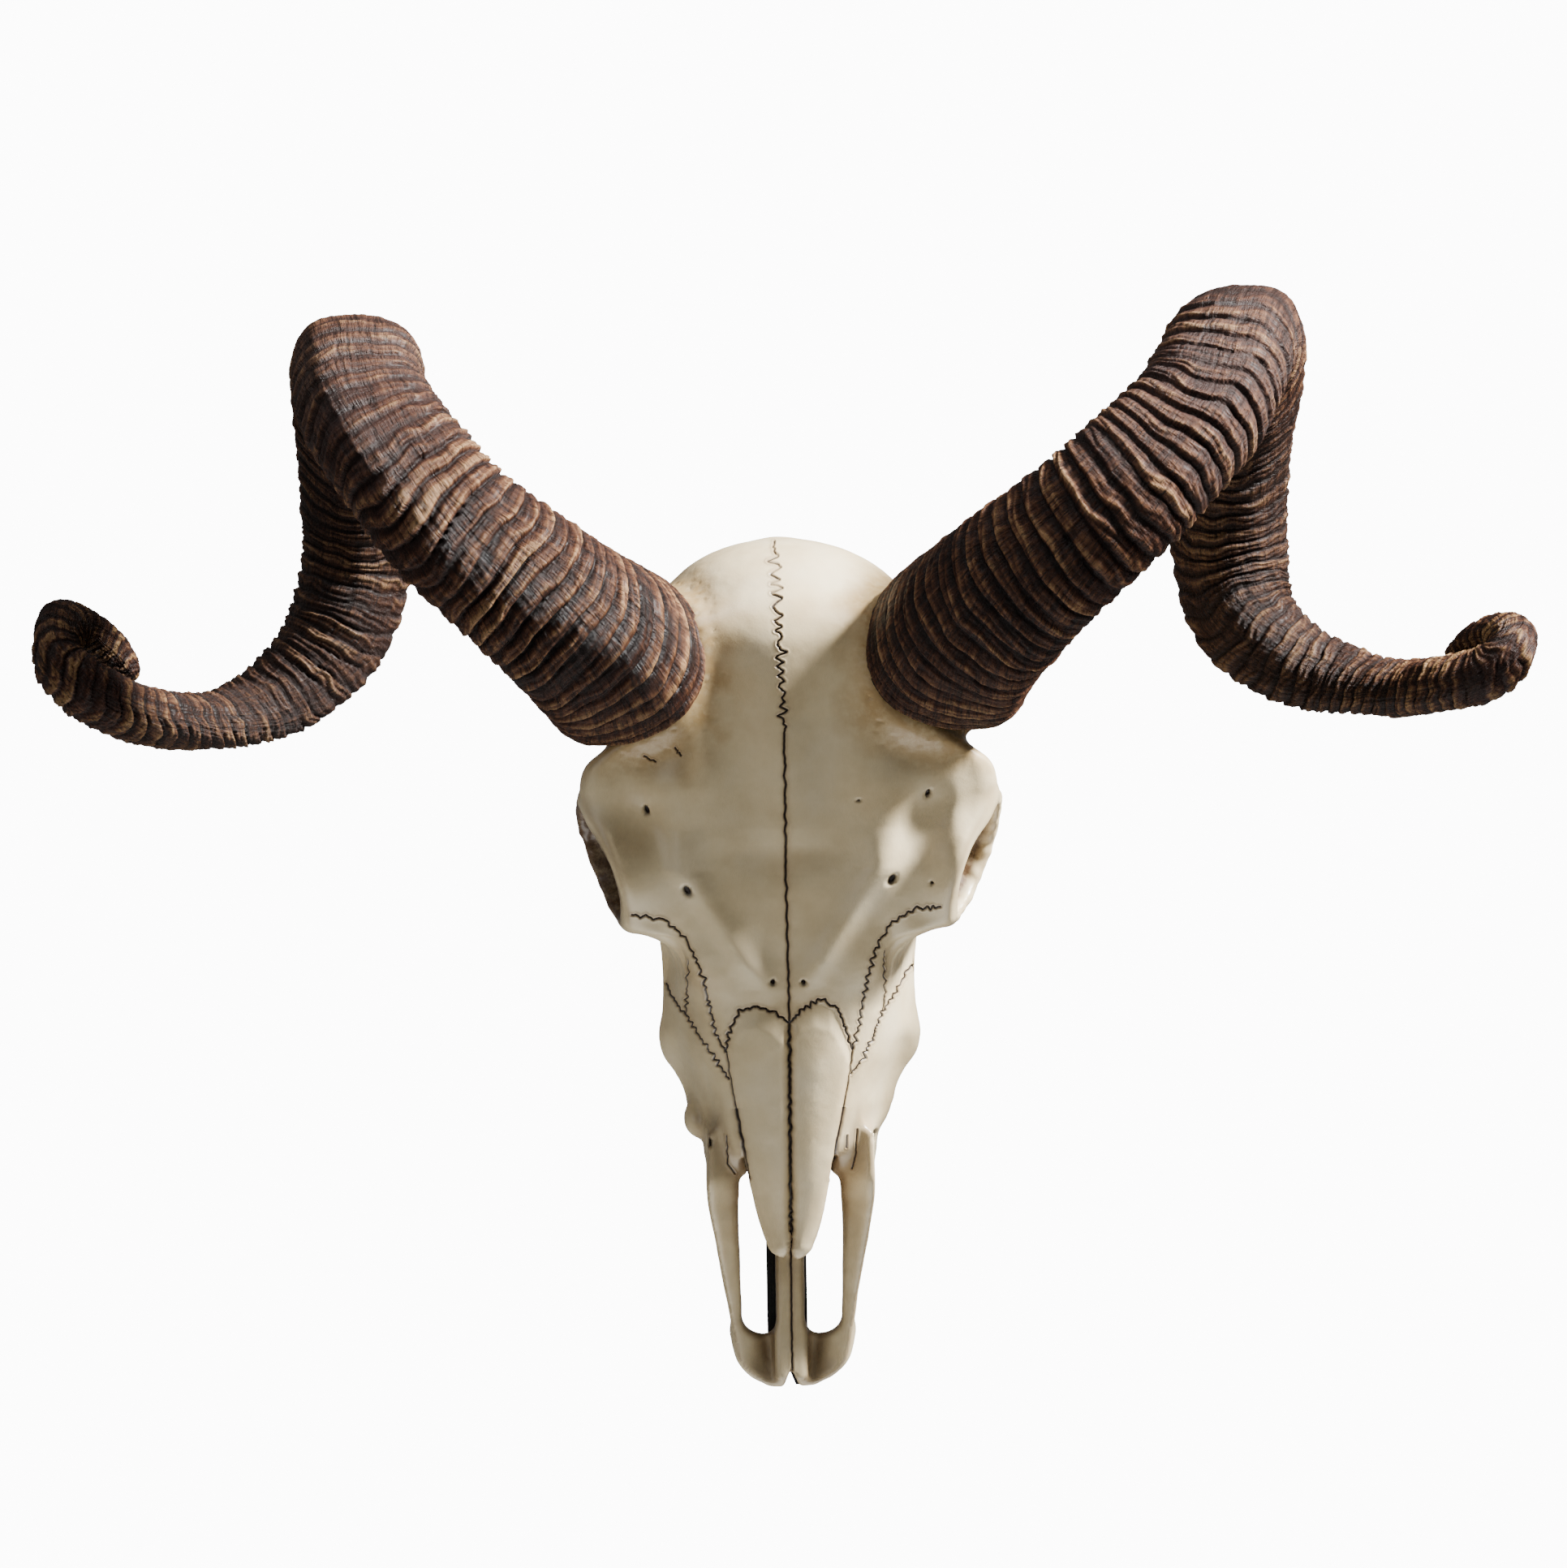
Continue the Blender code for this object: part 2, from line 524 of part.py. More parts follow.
RIGHT_HORN = [
    (0.0555, 0.0520, 0.0870, 0.0303, 0.0305), (0.0648, 0.0632, 0.1075, 0.0292, 0.0298),
    (0.0814, 0.0772, 0.1260, 0.0268, 0.0262), (0.1042, 0.0946, 0.1390, 0.0250, 0.0228),
    (0.1248, 0.1127, 0.1390, 0.0244, 0.0218), (0.1455, 0.1337, 0.1260, 0.0236, 0.0215),
    (0.1600, 0.1580, 0.0980, 0.0222, 0.0216), (0.1625, 0.1475, 0.0690, 0.0220, 0.0200),
    (0.1605, 0.1202, 0.0460, 0.0208, 0.0188), (0.1602, 0.0905, 0.0350, 0.0203, 0.0175),
    (0.1655, 0.0665, 0.0360, 0.0188, 0.0158), (0.1822, 0.0500, 0.0430, 0.0164, 0.0130),
    (0.2010, 0.0425, 0.0530, 0.0150, 0.0100), (0.2172, 0.0391, 0.0680, 0.0140, 0.0093),
    (0.2324, 0.0403, 0.0860, 0.0138, 0.0098), (0.2448, 0.0435, 0.0970, 0.0130, 0.0100),
    (0.2528, 0.0510, 0.0980, 0.0116, 0.0092), (0.2510, 0.0570, 0.0870, 0.0094, 0.0076),
    (0.2427, 0.0545, 0.0740, 0.0084, 0.0068), (0.2342, 0.0472, 0.0650, 0.0056, 0.0045),
]
# Each horn curls round a line at this height and distance from the wall, out to this reach
HUB_Z = 0.084
HUB_D = 0.083
HUB_REACH = 0.215


def curve_point(stations, t):
    """A point on the smooth curve through the stations; t runs from 0 to the number of spans."""
    i = min(int(t), len(stations) - 2)
    u = t - i
    s = np.array(stations)
    a, b, c = s[max(i - 1, 0)], s[i], s[i + 1]
    e = s[min(i + 2, len(s) - 1)]
    return 0.5 * (2 * b + (c - a) * u + (2 * a - 5 * b + 4 * c - e) * u**2 + (3 * b - a - 3 * c + e) * u**3)


def horn_track(stations, count):
    """Evenly spaced samples of the curve, with the share of the length each one lies at."""
    t = np.linspace(0, len(stations) - 1, 1200)
    fine = np.array([curve_point(stations, v) for v in t])
    length = np.concatenate([[0], np.cumsum(np.linalg.norm(np.diff(fine[:, :3], axis=0), axis=1))])
    share = np.linspace(0, 1, count)
    return np.stack([np.interp(share * length[-1], length, fine[:, i]) for i in range(5)], axis=1), share


def horn_rings(stations, count, sides):
    """Points of the horn's skin, one closed ring of points per sample."""
    track, share = horn_track(stations, count)
    middle = track[:, :3]
    run = np.gradient(middle, axis=0)
    run /= np.linalg.norm(run, axis=1)[:, None]
    hub = np.tile((0.0, HUB_Z, HUB_D), (count, 1))
    hub[:, 0] = np.clip(middle[:, 0], -HUB_REACH, HUB_REACH)
    face = middle - hub
    face -= (face * run).sum(axis=1)[:, None] * run
    face /= np.linalg.norm(face, axis=1)[:, None]
    wide = np.cross(run, face)
    if stations[0][0] < 0:
        wide = -wide
    turn = np.arange(sides) * 2 * math.pi / sides
    swell = 1 + 0.045 * np.cos(3 * turn - 1.57) + 0.05 * np.exp(-(((turn - 0.9) / 0.35) ** 2))
    beat = RIDGE_HEIGHT * np.cos(share * HORN_RIDGES * 2 * math.pi) * np.clip(track[:, 3] / 0.022, 0.3, 1)
    a = (track[:, 3] + beat)[:, None] * np.cos(turn) * swell
    b = (track[:, 4] + beat)[:, None] * np.sin(turn) * swell
    return middle[:, None] + a[..., None] * wide[:, None] + b[..., None] * face[:, None], run


def tube(name, rings):
    """A closed body from rings of points, given as x, z, d."""
    points = rings.reshape(-1, 3)
    world = np.stack([points[:, 0], -points[:, 2], points[:, 1]], axis=1)
    n = rings.shape[1]
    faces = []
    for i in range(len(rings) - 1):
        for j in range(n):
            a, b = i * n + j, i * n + (j + 1) % n
            faces += [(a, b, b + n), (a, b + n, a + n)]
    last = (len(rings) - 1) * n
    faces += [tuple(range(n)), tuple(range(last, last + n))]
    obj = mesh_object(name, world, faces)
    outward(obj.data)
    return obj


def horn_samples():
    return 4 * (HORN_RIDGES // 2) + 1


def horn_seat(name, stations):
    """The first stretch of the horn, grown by the gap, to be cut out of the skull."""
    rings, run = horn_rings(stations, horn_samples(), HORN_SIDES)
    part = rings[:15].copy()
    middle = part.mean(axis=1, keepdims=True)
    out = part - middle
    part += out / np.linalg.norm(out, axis=2, keepdims=True) * 1.7 * GAP
    part[0] -= run[0] * 1.7 * GAP
    return tube(name, part)


def horn(side, stations, mat):
    """The horn in four lengths, each a closed body."""
    count = horn_samples()
    per = (count - 1) // 4 + 1
    rings, run = horn_rings(stations, count, HORN_SIDES)
    for k, word in enumerate(LENGTH_NAMES):
        part = rings[k * (per - 1) : (k + 1) * (per - 1) + 1].copy()
        if k:
            part[0] += run[k * (per - 1)] * GAP / 2
        if k < 3:
            part[-1] -= run[(k + 1) * (per - 1)] * GAP / 2
        keep(tube("horn", part), "horn_" + side + "_" + word, mat)


def board_blank(name, extra):
    """The board's solid, grown by a little all round."""
    rows = [-0.2055, -0.130, -0.116, -0.090, -0.050, -0.036, 0.055]
    outline = [(float(board_edge(np.array(z), 1)) + extra, z) for z in rows]
    outline += [(-float(board_edge(np.array(z), -1)) - extra, z) for z in rows[::-1]]
    outline = [(x, z + (extra if z > 0 else -extra if z < -0.19 else 0)) for x, z in outline]
    if not extra:
        outline += [(-0.0045, -0.2055), (-0.0010, -0.1990), (0.0016, -0.2055)]
    low = [(x, extra * 4, z) for x, z in outline]
    high = [(x, -BOARD_THICK - extra, z) for x, z in outline]
    n = len(outline)
    sides = [(i, (i + 1) % n, n + (i + 1) % n, n + i) for i in range(n)]
    blank = mesh_object(name, low + high, [tuple(range(n))[::-1], tuple(range(n, 2 * n))] + sides)
    outward(blank.data)
    return blank


def board(mat, steel):
    """The black board that closes the back, and the steel hanger let into it."""
    whole = board_blank("whole", 0.0)
    w, t, h = HANGER_SIZE
    pocket = box("pocket", (0, -t / 2 - 0.0002, HANGER_Z), (w + 2 * GAP, t + 2 * GAP + 0.0004, h + 2 * GAP))
    well = box("well", (0, -0.0032, HANGER_Z), (0.012, 0.0036, 0.016))
    cut = carve(whole, pocket, "DIFFERENCE")
    keep(carve(cut, well, "DIFFERENCE"), "backing_board", mat)
    plate = box("plate", (0, -t / 2 - 0.0001, HANGER_Z), (w, t, h))
    eye = box("eye", (0, -t / 2, HANGER_Z - 0.003), (0.0090, 0.01, 0.0080))
    slot = box("slot", (0, -t / 2, HANGER_Z + 0.003), (0.0044, 0.01, 0.0080))
    keep(carve(carve(plate, eye, "DIFFERENCE"), slot, "DIFFERENCE"), "hanger_plate", steel)
    for obj in list(bpy.data.objects):
        if obj.name in ("whole", "pocket", "well", "plate", "eye", "slot") or obj.name.startswith("work"):
            bpy.data.objects.remove(obj)


def box(name, centre, size):
    bm = bmesh.new()
    bmesh.ops.create_cube(bm, size=1.0)
    for v in bm.verts:
        v.co = Vector([c + a * s for c, a, s in zip(centre, v.co, size)])
    mesh = bpy.data.meshes.new(name)
    bm.to_mesh(mesh)
    bm.free()
    obj = bpy.data.objects.new(name, mesh)
    bpy.context.scene.collection.objects.link(obj)
    return obj


def build():
    clear_scene()
    bone_resin = material("bone_resin", (0.72, 0.63, 0.48), 0.42)
    horn_resin = material("horn_resin", (0.13, 0.070, 0.038), 0.40)
    black = material("black_paint", (0.012, 0.012, 0.013), 0.55)
    steel = material("zinc_steel", (0.55, 0.55, 0.53), 0.38, 1.0)
    whole = bpy.data.objects.new("skull", skull_skin())
    bpy.context.scene.collection.objects.link(whole)
    bones(whole, bone_resin)
    horn("left", LEFT_HORN, horn_resin)
    horn("right", RIGHT_HORN, horn_resin)
    board(black, steel)
    for mesh in list(bpy.data.meshes):
        if mesh.users == 0:
            bpy.data.meshes.remove(mesh)


build()
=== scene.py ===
import math

import bmesh
import bpy
import numpy as np
from mathutils import Matrix, Vector
from mathutils.kdtree import KDTree


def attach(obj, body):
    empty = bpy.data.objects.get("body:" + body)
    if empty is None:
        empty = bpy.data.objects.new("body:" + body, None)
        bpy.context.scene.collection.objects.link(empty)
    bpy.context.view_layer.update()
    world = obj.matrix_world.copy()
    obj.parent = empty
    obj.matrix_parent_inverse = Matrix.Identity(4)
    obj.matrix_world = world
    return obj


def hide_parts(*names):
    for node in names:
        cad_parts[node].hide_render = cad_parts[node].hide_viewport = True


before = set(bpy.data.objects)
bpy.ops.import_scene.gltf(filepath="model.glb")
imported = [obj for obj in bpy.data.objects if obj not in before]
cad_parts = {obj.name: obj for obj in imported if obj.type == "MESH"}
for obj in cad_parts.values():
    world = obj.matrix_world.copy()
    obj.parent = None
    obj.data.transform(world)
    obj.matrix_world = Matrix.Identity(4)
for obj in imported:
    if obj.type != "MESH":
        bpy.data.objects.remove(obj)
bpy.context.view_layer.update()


def placed(name, data):
    """An object that shows the data, in the scene."""
    made = bpy.data.objects.new(name, data)
    bpy.context.scene.collection.objects.link(made)
    return made


# Camera: straight on and far off, as a shop takes a piece for a white page. The piece hangs about one degree
# out of true there, so the camera is turned by as much.
SENSOR_WIDTH = 36
FACE_DISTANCE = 2.4
PICTURE_WIDTH = 0.5407
TURNED = math.radians(-0.987)
camera_data = bpy.data.cameras.new("camera")
camera = placed("camera", camera_data)
bpy.context.scene.camera = camera
camera_data.sensor_width = SENSOR_WIDTH
camera_data.lens = SENSOR_WIDTH * FACE_DISTANCE / PICTURE_WIDTH
camera.location = (0.0009, -2.5, 0.0095)
level = Matrix.Rotation(math.radians(90), 3, "X")
camera.rotation_euler = (level @ Matrix.Rotation(TURNED, 3, "Z")).to_euler()

# Light: a soft lamp above and to the right, weak ones overhead and to the left, and dim surroundings that
# the camera alone sees as a white page. All the lamps point at the middle of the piece.
AIM = (0, -0.08, 0.0)
world = bpy.data.worlds.new("studio")
bpy.context.scene.world = world
world.use_nodes = True
sky = world.node_tree
sky.nodes.clear()
seen = sky.nodes.new("ShaderNodeBackground")
seen.inputs["Color"].default_value = (1, 1, 1, 1)
seen.inputs["Strength"].default_value = 12.0
fill = sky.nodes.new("ShaderNodeBackground")
fill.inputs["Color"].default_value = (1.0, 0.985, 0.96, 1)
fill.inputs["Strength"].default_value = 0.14
path = sky.nodes.new("ShaderNodeLightPath")
blend = sky.nodes.new("ShaderNodeMixShader")
out = sky.nodes.new("ShaderNodeOutputWorld")
sky.links.new(path.outputs["Is Camera Ray"], blend.inputs[0])
sky.links.new(fill.outputs[0], blend.inputs[1])
sky.links.new(seen.outputs[0], blend.inputs[2])
sky.links.new(blend.outputs[0], out.inputs["Surface"])
for name, place, power, size in (
    ("key", (1.62, -0.4, 1.42), 330, 0.34),
    ("overhead", (-0.45, -0.4, 1.6), 12, 0.7),
    ("left_fill", (-1.6, -1.1, 0.1), 4, 1.00),
):
    lamp = bpy.data.lights.new(name, "AREA")
    lamp.energy = power
    lamp.size = size
    lamp_object = placed(name, lamp)
    lamp_object.location = place
    lamp_object.rotation_euler = (Vector(AIM) - Vector(place)).to_track_quat("-Z", "Y").to_euler()

# Floor: a pale disc well below the hanging piece, out of the camera's view.
FLOOR_RADIUS = 0.7
FLOOR_HEIGHT = -1.1
FLOOR_SIDES = 96
floor_mesh = bpy.data.meshes.new("floor")
turns = [side * 2 * math.pi / FLOOR_SIDES for side in range(FLOOR_SIDES)]
rim = [(FLOOR_RADIUS * math.cos(a), FLOOR_RADIUS * math.sin(a) - 0.1, FLOOR_HEIGHT) for a in turns]
floor_mesh.from_pydata(rim, [], [tuple(range(FLOOR_SIDES))])
floor = placed("floor", floor_mesh)
floor_paint = bpy.data.materials.new("floor_paint")
floor_paint.use_nodes = True
floor_shader = floor_paint.node_tree.nodes["Principled BSDF"]
floor_shader.inputs["Base Color"].default_value = (0.82, 0.82, 0.8, 1)
floor_shader.inputs["Roughness"].default_value = 0.75
floor_mesh.materials.append(floor_paint)

# Skull: one hollow casting in cream resin of all the bones, with the sutures engraved and brown stain rubbed
# into them. The sizes are those of the solids, as signed distances to each bone's surface that flow into
# one another; p holds x, z and the distance d out from the wall.
SIDE_BIAS = 0.036
BOARD_THICK = 0.008


def smooth_min(a, b, r):
    h = np.clip(0.5 + 0.5 * (b - a) / r, 0, 1)
    return b + (a - b) * h - r * h * (1 - h)


def smooth_max(a, b, r):
    return -smooth_min(-a, -b, r)


def along(t, stations):
    """A smooth curve through (place, value) stations, level beyond both ends."""
    place = np.array([s[0] for s in stations])
    value = np.array([s[1] for s in stations])
    slope = np.gradient(value, place)
    slope[0] = slope[-1] = 0
    t = np.clip(t, place[0], place[-1])
    i = np.clip(np.searchsorted(place, t) - 1, 0, len(place) - 2)
    span = place[i + 1] - place[i]
    u = (t - place[i]) / span
    return (
        value[i] * (1 + 2 * u) * (1 - u) ** 2
        + slope[i] * span * u * (1 - u) ** 2
        + value[i + 1] * u * u * (3 - 2 * u)
        - slope[i + 1] * span * u * u * (1 - u)
    )


def hump(x, z, centre, reach):
    """A soft round swelling of height 1 on the face."""
    return np.exp(-(((x - centre[0]) / reach[0]) ** 2) - ((z - centre[1]) / reach[1]) ** 2)


def ellipsoid(p, centre, radii):
    q = [(a - c) / r for a, c, r in zip(p, centre, radii)]
    k0 = np.sqrt(q[0] ** 2 + q[1] ** 2 + q[2] ** 2)
    k1 = np.sqrt(sum((a / r) ** 2 for a, r in zip(q, radii)))
    return k0 * (k0 - 1) / np.maximum(k1, 1e-6)


def rod(p, start, end, start_radius, end_radius):
    """A round bar that tapers from one point to the other."""
    a, b = np.array(start), np.array(end)
    run = b - a
    t = sum((p[i] - a[i]) * run[i] for i in range(3)) / run.dot(run)
    t = np.clip(t, 0, 1)
    away = np.sqrt(sum((p[i] - a[i] - t * run[i]) ** 2 for i in range(3)))
    return away - start_radius - (end_radius - start_radius) * t


# Height of the midline of the face over the wall, from the nasal tips to the forehead
FACE_HEIGHT = [
    (-0.158, 0.046), (-0.122, 0.059), (-0.074, 0.0755), (-0.04, 0.086), (0.000, 0.098), (0.03, 0.106),
    (0.062, 0.107),
]
# Half width of the cheeks, and of the face just under the nasal bones
CHEEK_WIDTH = [
    (-0.13, 0.0297), (-0.1215, 0.0294), (-0.1157, 0.0309), (-0.1098, 0.0355), (-0.104, 0.0377),
    (-0.098, 0.0393), (-0.0925, 0.0423),
    (-0.0867, 0.0458), (-0.081, 0.0467), (-0.069, 0.045), (-0.057, 0.0445), (-0.046, 0.0453),
    (-0.036, 0.0465),
]
RIDGE_WIDTH = [(-0.13, 0.0205), (-0.086, 0.024), (-0.05, 0.033), (-0.03, 0.04)]
# Half width of the frontal bones, with the shelf that roofs the eye sockets
FRONTAL_WIDTH = [
    (-0.062, 0.038), (-0.045, 0.044), (-0.04, 0.0545), (-0.034, 0.0575), (-0.021, 0.0625), (-0.011, 0.066),
    (0.000, 0.0705), (0.01, 0.0725), (0.018, 0.069), (0.026, 0.056), (0.036, 0.046), (0.066, 0.04),
]
# Half width of the two nasal bones together
NASAL_WIDTH = [
    (-0.159, 0.002), (-0.156, 0.0062), (-0.1515, 0.0086), (-0.1446, 0.0109), (-0.1302, 0.014),
    (-0.115, 0.0168),
    (-0.1024, 0.0189), (-0.092, 0.0209), (-0.0834, 0.0221), (-0.076, 0.0222),
]
# Half width of the premaxillae, and height of their upper edge over the wall
BEAK_WIDTH = [
    (-0.2059, 0.0095), (-0.203, 0.0134), (-0.1972, 0.0184), (-0.1915, 0.0203), (-0.1856, 0.0214),
    (-0.174, 0.0233),
    (-0.1564, 0.0264), (-0.1447, 0.0284), (-0.1389, 0.0293), (-0.127, 0.0297),
]
ARM_WIDTH = [
    (-0.195, 0.01), (-0.1767, 0.0084), (-0.158, 0.0094), (-0.145, 0.0114), (-0.1377, 0.0132), (-0.13, 0.016)
]
BEAK_HEIGHT = [
    (-0.206, 0.017), (-0.192, 0.0205), (-0.176, 0.026), (-0.155, 0.037), (-0.139, 0.047), (-0.128, 0.0525)
]

HORN_SEAT = (0.053, 0.0498, 0.087)
HORN_DIRECTION = (0.51, 0.29, 0.81)

ORBIT_CENTRE = (0.0658, -0.0178, 0.069)
ORBIT_AXIS = (0.92, -0.345, 0.184)
ORBIT_RADIUS = 0.0198
ORBIT_RIM = 0.0062
ORBIT_DEPTH = 0.03

# The plate of the nasal bones: how thick it is, and how fast it falls away from the middle
NASAL_THICK = 0.0062
NASAL_BOW = 9.0
# The room behind the nose: its half width, and how far it stays from the wall
ROOM_WIDTH = 0.0165
ROOM_BACK = 0.0145
# Spacing of the grid that the skin is first laid on
SKIN_STEP = 0.0018


def braincase(p):
    x, z, d = p
    dome = ellipsoid((x, z, d), (0, 0.0612, 0.056), (0.0472, 0.0346, 0.05))
    nape = ellipsoid((x, z, d), (0, 0.058, 0.033), (0.037, 0.031, 0.026))
    skull = smooth_min(dome, nape, 0.012)
    crest = rod(p, (0.0, 0.0885, 0.052), (0.03, 0.076, 0.04), 0.0045, 0.005)
    skull = smooth_min(skull, crest, 0.008)
    condyle = ellipsoid(p, (0.0135, 0.08, 0.02), (0.0085, 0.0095, 0.0105))
    skull = smooth_min(skull, condyle, 0.004)
    bulla = ellipsoid(p, (0.024, 0.042, 0.019), (0.009, 0.013, 0.0095))
    skull = smooth_min(skull, bulla, 0.004)
    jugular = rod(p, (0.03, 0.066, 0.026), (0.029, 0.064, 0.005), 0.006, 0.003)
    skull = smooth_min(skull, jugular, 0.006)
    magnum = ellipsoid(p, (0.0, 0.092, 0.03), (0.009, 0.016, 0.0085))
    return smooth_max(skull, -magnum, 0.003)


def frontal(p):
    """The forehead, from the nasal bones up to between the horns, with the shelf over the eye sockets."""
    x, z, d = p
    top = along(z, FACE_HEIGHT) - 1.8 * x * x
    for height, centre, reach in (
        (-0.003, (0.02, 0.03), (0.012, 0.026)),
        (-0.003, (0.009, -0.036), (0.014, 0.026)),
        (0.0024, (0.036, -0.016), (0.008, 0.024)),
        (-0.0034, (0.052, -0.01), (0.009, 0.013)),
        (-0.003, (0.044, 0.02), (0.012, 0.008)),
    ):
        top = top + height * hump(x, z, centre, reach)
    inner = along(z, [(-0.07, 0.03), (-0.04, 0.037), (0.000, 0.04), (0.06, 0.036)])
    share = np.clip((x - inner) / 0.012, 0, 1)
    under = 0.022 + (top - 0.038) * share * share * (3 - 2 * share)
    body = smooth_max(x - along(z, FRONTAL_WIDTH), d - top, 0.007)
    body = smooth_max(body, under - d, 0.007)
    return smooth_max(body, smooth_max(-0.062 - z, z - 0.066, 0.01), 0.014)


def muzzle(p):
    """Both maxillae with the cheek bones, the palate and the rows of cheek teeth."""
    x, z, d = p
    top = along(z, FACE_HEIGHT) - along(z, [(-0.1, 0.002), (-0.06, 0.0)]) - 5.0 * x * x
    drop = np.clip((top - d) / 0.034, 0, 1)
    lower = np.clip((0.032 - d) / 0.03, 0, 1)
    wide = along(z, CHEEK_WIDTH)
    width = along(z, RIDGE_WIDTH) * (1 - drop) + wide * drop - 0.012 * lower * lower
    body = smooth_max(smooth_max(x - width, d - top, 0.01), 0.0085 - d, 0.006)
    body = smooth_max(body, smooth_max(-0.126 - z, z + 0.02, 0.01), 0.012)
    hollow = ellipsoid(p, (0.044, -0.098, 0.04), (0.008, 0.016, 0.013))
    body = smooth_max(body, -hollow, 0.008)
    row = along(z, [(-0.118, 0.0215), (-0.09, 0.0275), (-0.05, 0.029)])
    notch = 0.0008 * np.cos((z + 0.118) * 2 * math.pi / 0.0136)
    teeth = smooth_max(np.abs(x - row) - 0.0072 + notch, 0.0012 - d + notch, 0.003)
    teeth = smooth_max(teeth, d - 0.024, 0.004)
    teeth = smooth_max(teeth, smooth_max(-0.119 - z, z + 0.044, 0.003), 0.003)
    return smooth_min(body, teeth, 0.003)


def beak(p):
    """The premaxillae: an outer arm up each side, a cupped plate at the tip and a bar along the middle."""
    x, z, d = p
    height = along(z, BEAK_HEIGHT)
    width = along(z, BEAK_WIDTH)
    arm = smooth_max(x - width, width - along(z, ARM_WIDTH) - x, 0.003)
    arm = smooth_max(arm, d - height + 0.8 * (width - x), 0.004)
    arm = smooth_max(arm, height - 0.03 - d, 0.004)
    arm = smooth_max(arm, -0.2035 - z, 0.004)
    cup = 0.015 - 0.0045 * hump(x, z, (0.0095, -0.193), (0.006, 0.01))
    plate = smooth_max(x - width, d - cup, 0.003)
    plate = smooth_max(plate, smooth_max(-0.206 - z, z + 0.1855, 0.003), 0.003)
    bar = smooth_max(x - 0.0059, d - 0.019, 0.003)
    bar = smooth_max(bar, -0.2045 - z, 0.003)
    whole = smooth_min(smooth_min(arm, plate, 0.005), bar, 0.003)
    whole = smooth_max(whole, 0.0085 - d, 0.003)
    whole = smooth_max(whole, z + 0.112, 0.003)
    notch = x + 0.42 * (z + 0.1995)
    return smooth_max(whole, -notch, 0.001)


def nasals(p):
    """The two nasal bones, as a curved plate over the nose that ends in two free points."""
    x, z, d = p
    top = along(z, FACE_HEIGHT) - NASAL_BOW * x * x
    plate = smooth_max(x - along(z, NASAL_WIDTH), d - top, 0.003)
    plate = smooth_max(plate, top - NASAL_THICK - d, 0.003)
    cleft = 0.26 * (-0.148 - z) - x
    plate = smooth_max(plate, cleft, 0.0012)
    return smooth_max(plate, smooth_max(-0.159 - z, z + 0.06, 0.002), 0.003)


def board_edge(z, side):
    """Half width of the backing board on one side."""
    nose = along(z, [(-0.206, 0.0062), (-0.13, 0.0062), (-0.116, 0.01)]) + (0.002 if side < 0 else 0)
    back = along(z, [(-0.116, 0.01), (-0.09, 0.0165), (-0.05, 0.0185), (-0.036, 0.029), (0.055, 0.029)])
    return np.where(z < -0.116, nose, back) + np.where(np.abs(z + 0.0752) > 0.1313, -9, 0)


def orbit_frame(p):
    """How far out of the socket's rim a point is, and how far from the socket's axis."""
    out = sum((a - c) * n for a, c, n in zip(p, ORBIT_CENTRE, ORBIT_AXIS))
    away = [a - c - out * n for a, c, n in zip(p, ORBIT_CENTRE, ORBIT_AXIS)]
    return out, np.sqrt(away[0] ** 2 + away[1] ** 2 + away[2] ** 2)


def cheek_arch(p):
    """The bar behind the eye and the arch that runs back to the braincase."""
    lower = rod(p, (0.064, 0.004, 0.056), (0.056, 0.03, 0.042), 0.0058, 0.0048)
    upper = rod(p, (0.056, 0.03, 0.042), (0.04, 0.05, 0.04), 0.0048, 0.007)
    return smooth_min(lower, upper, 0.004)


def pedicle(p):
    """The bony boss that carries the horn."""
    boss = rod(p, (0.03, 0.044, 0.056), (0.05, 0.05, 0.086), 0.028, 0.027)
    return smooth_max(boss, sum((a - b) * n for a, b, n in zip(p, HORN_SEAT, HORN_DIRECTION)), 0.003)


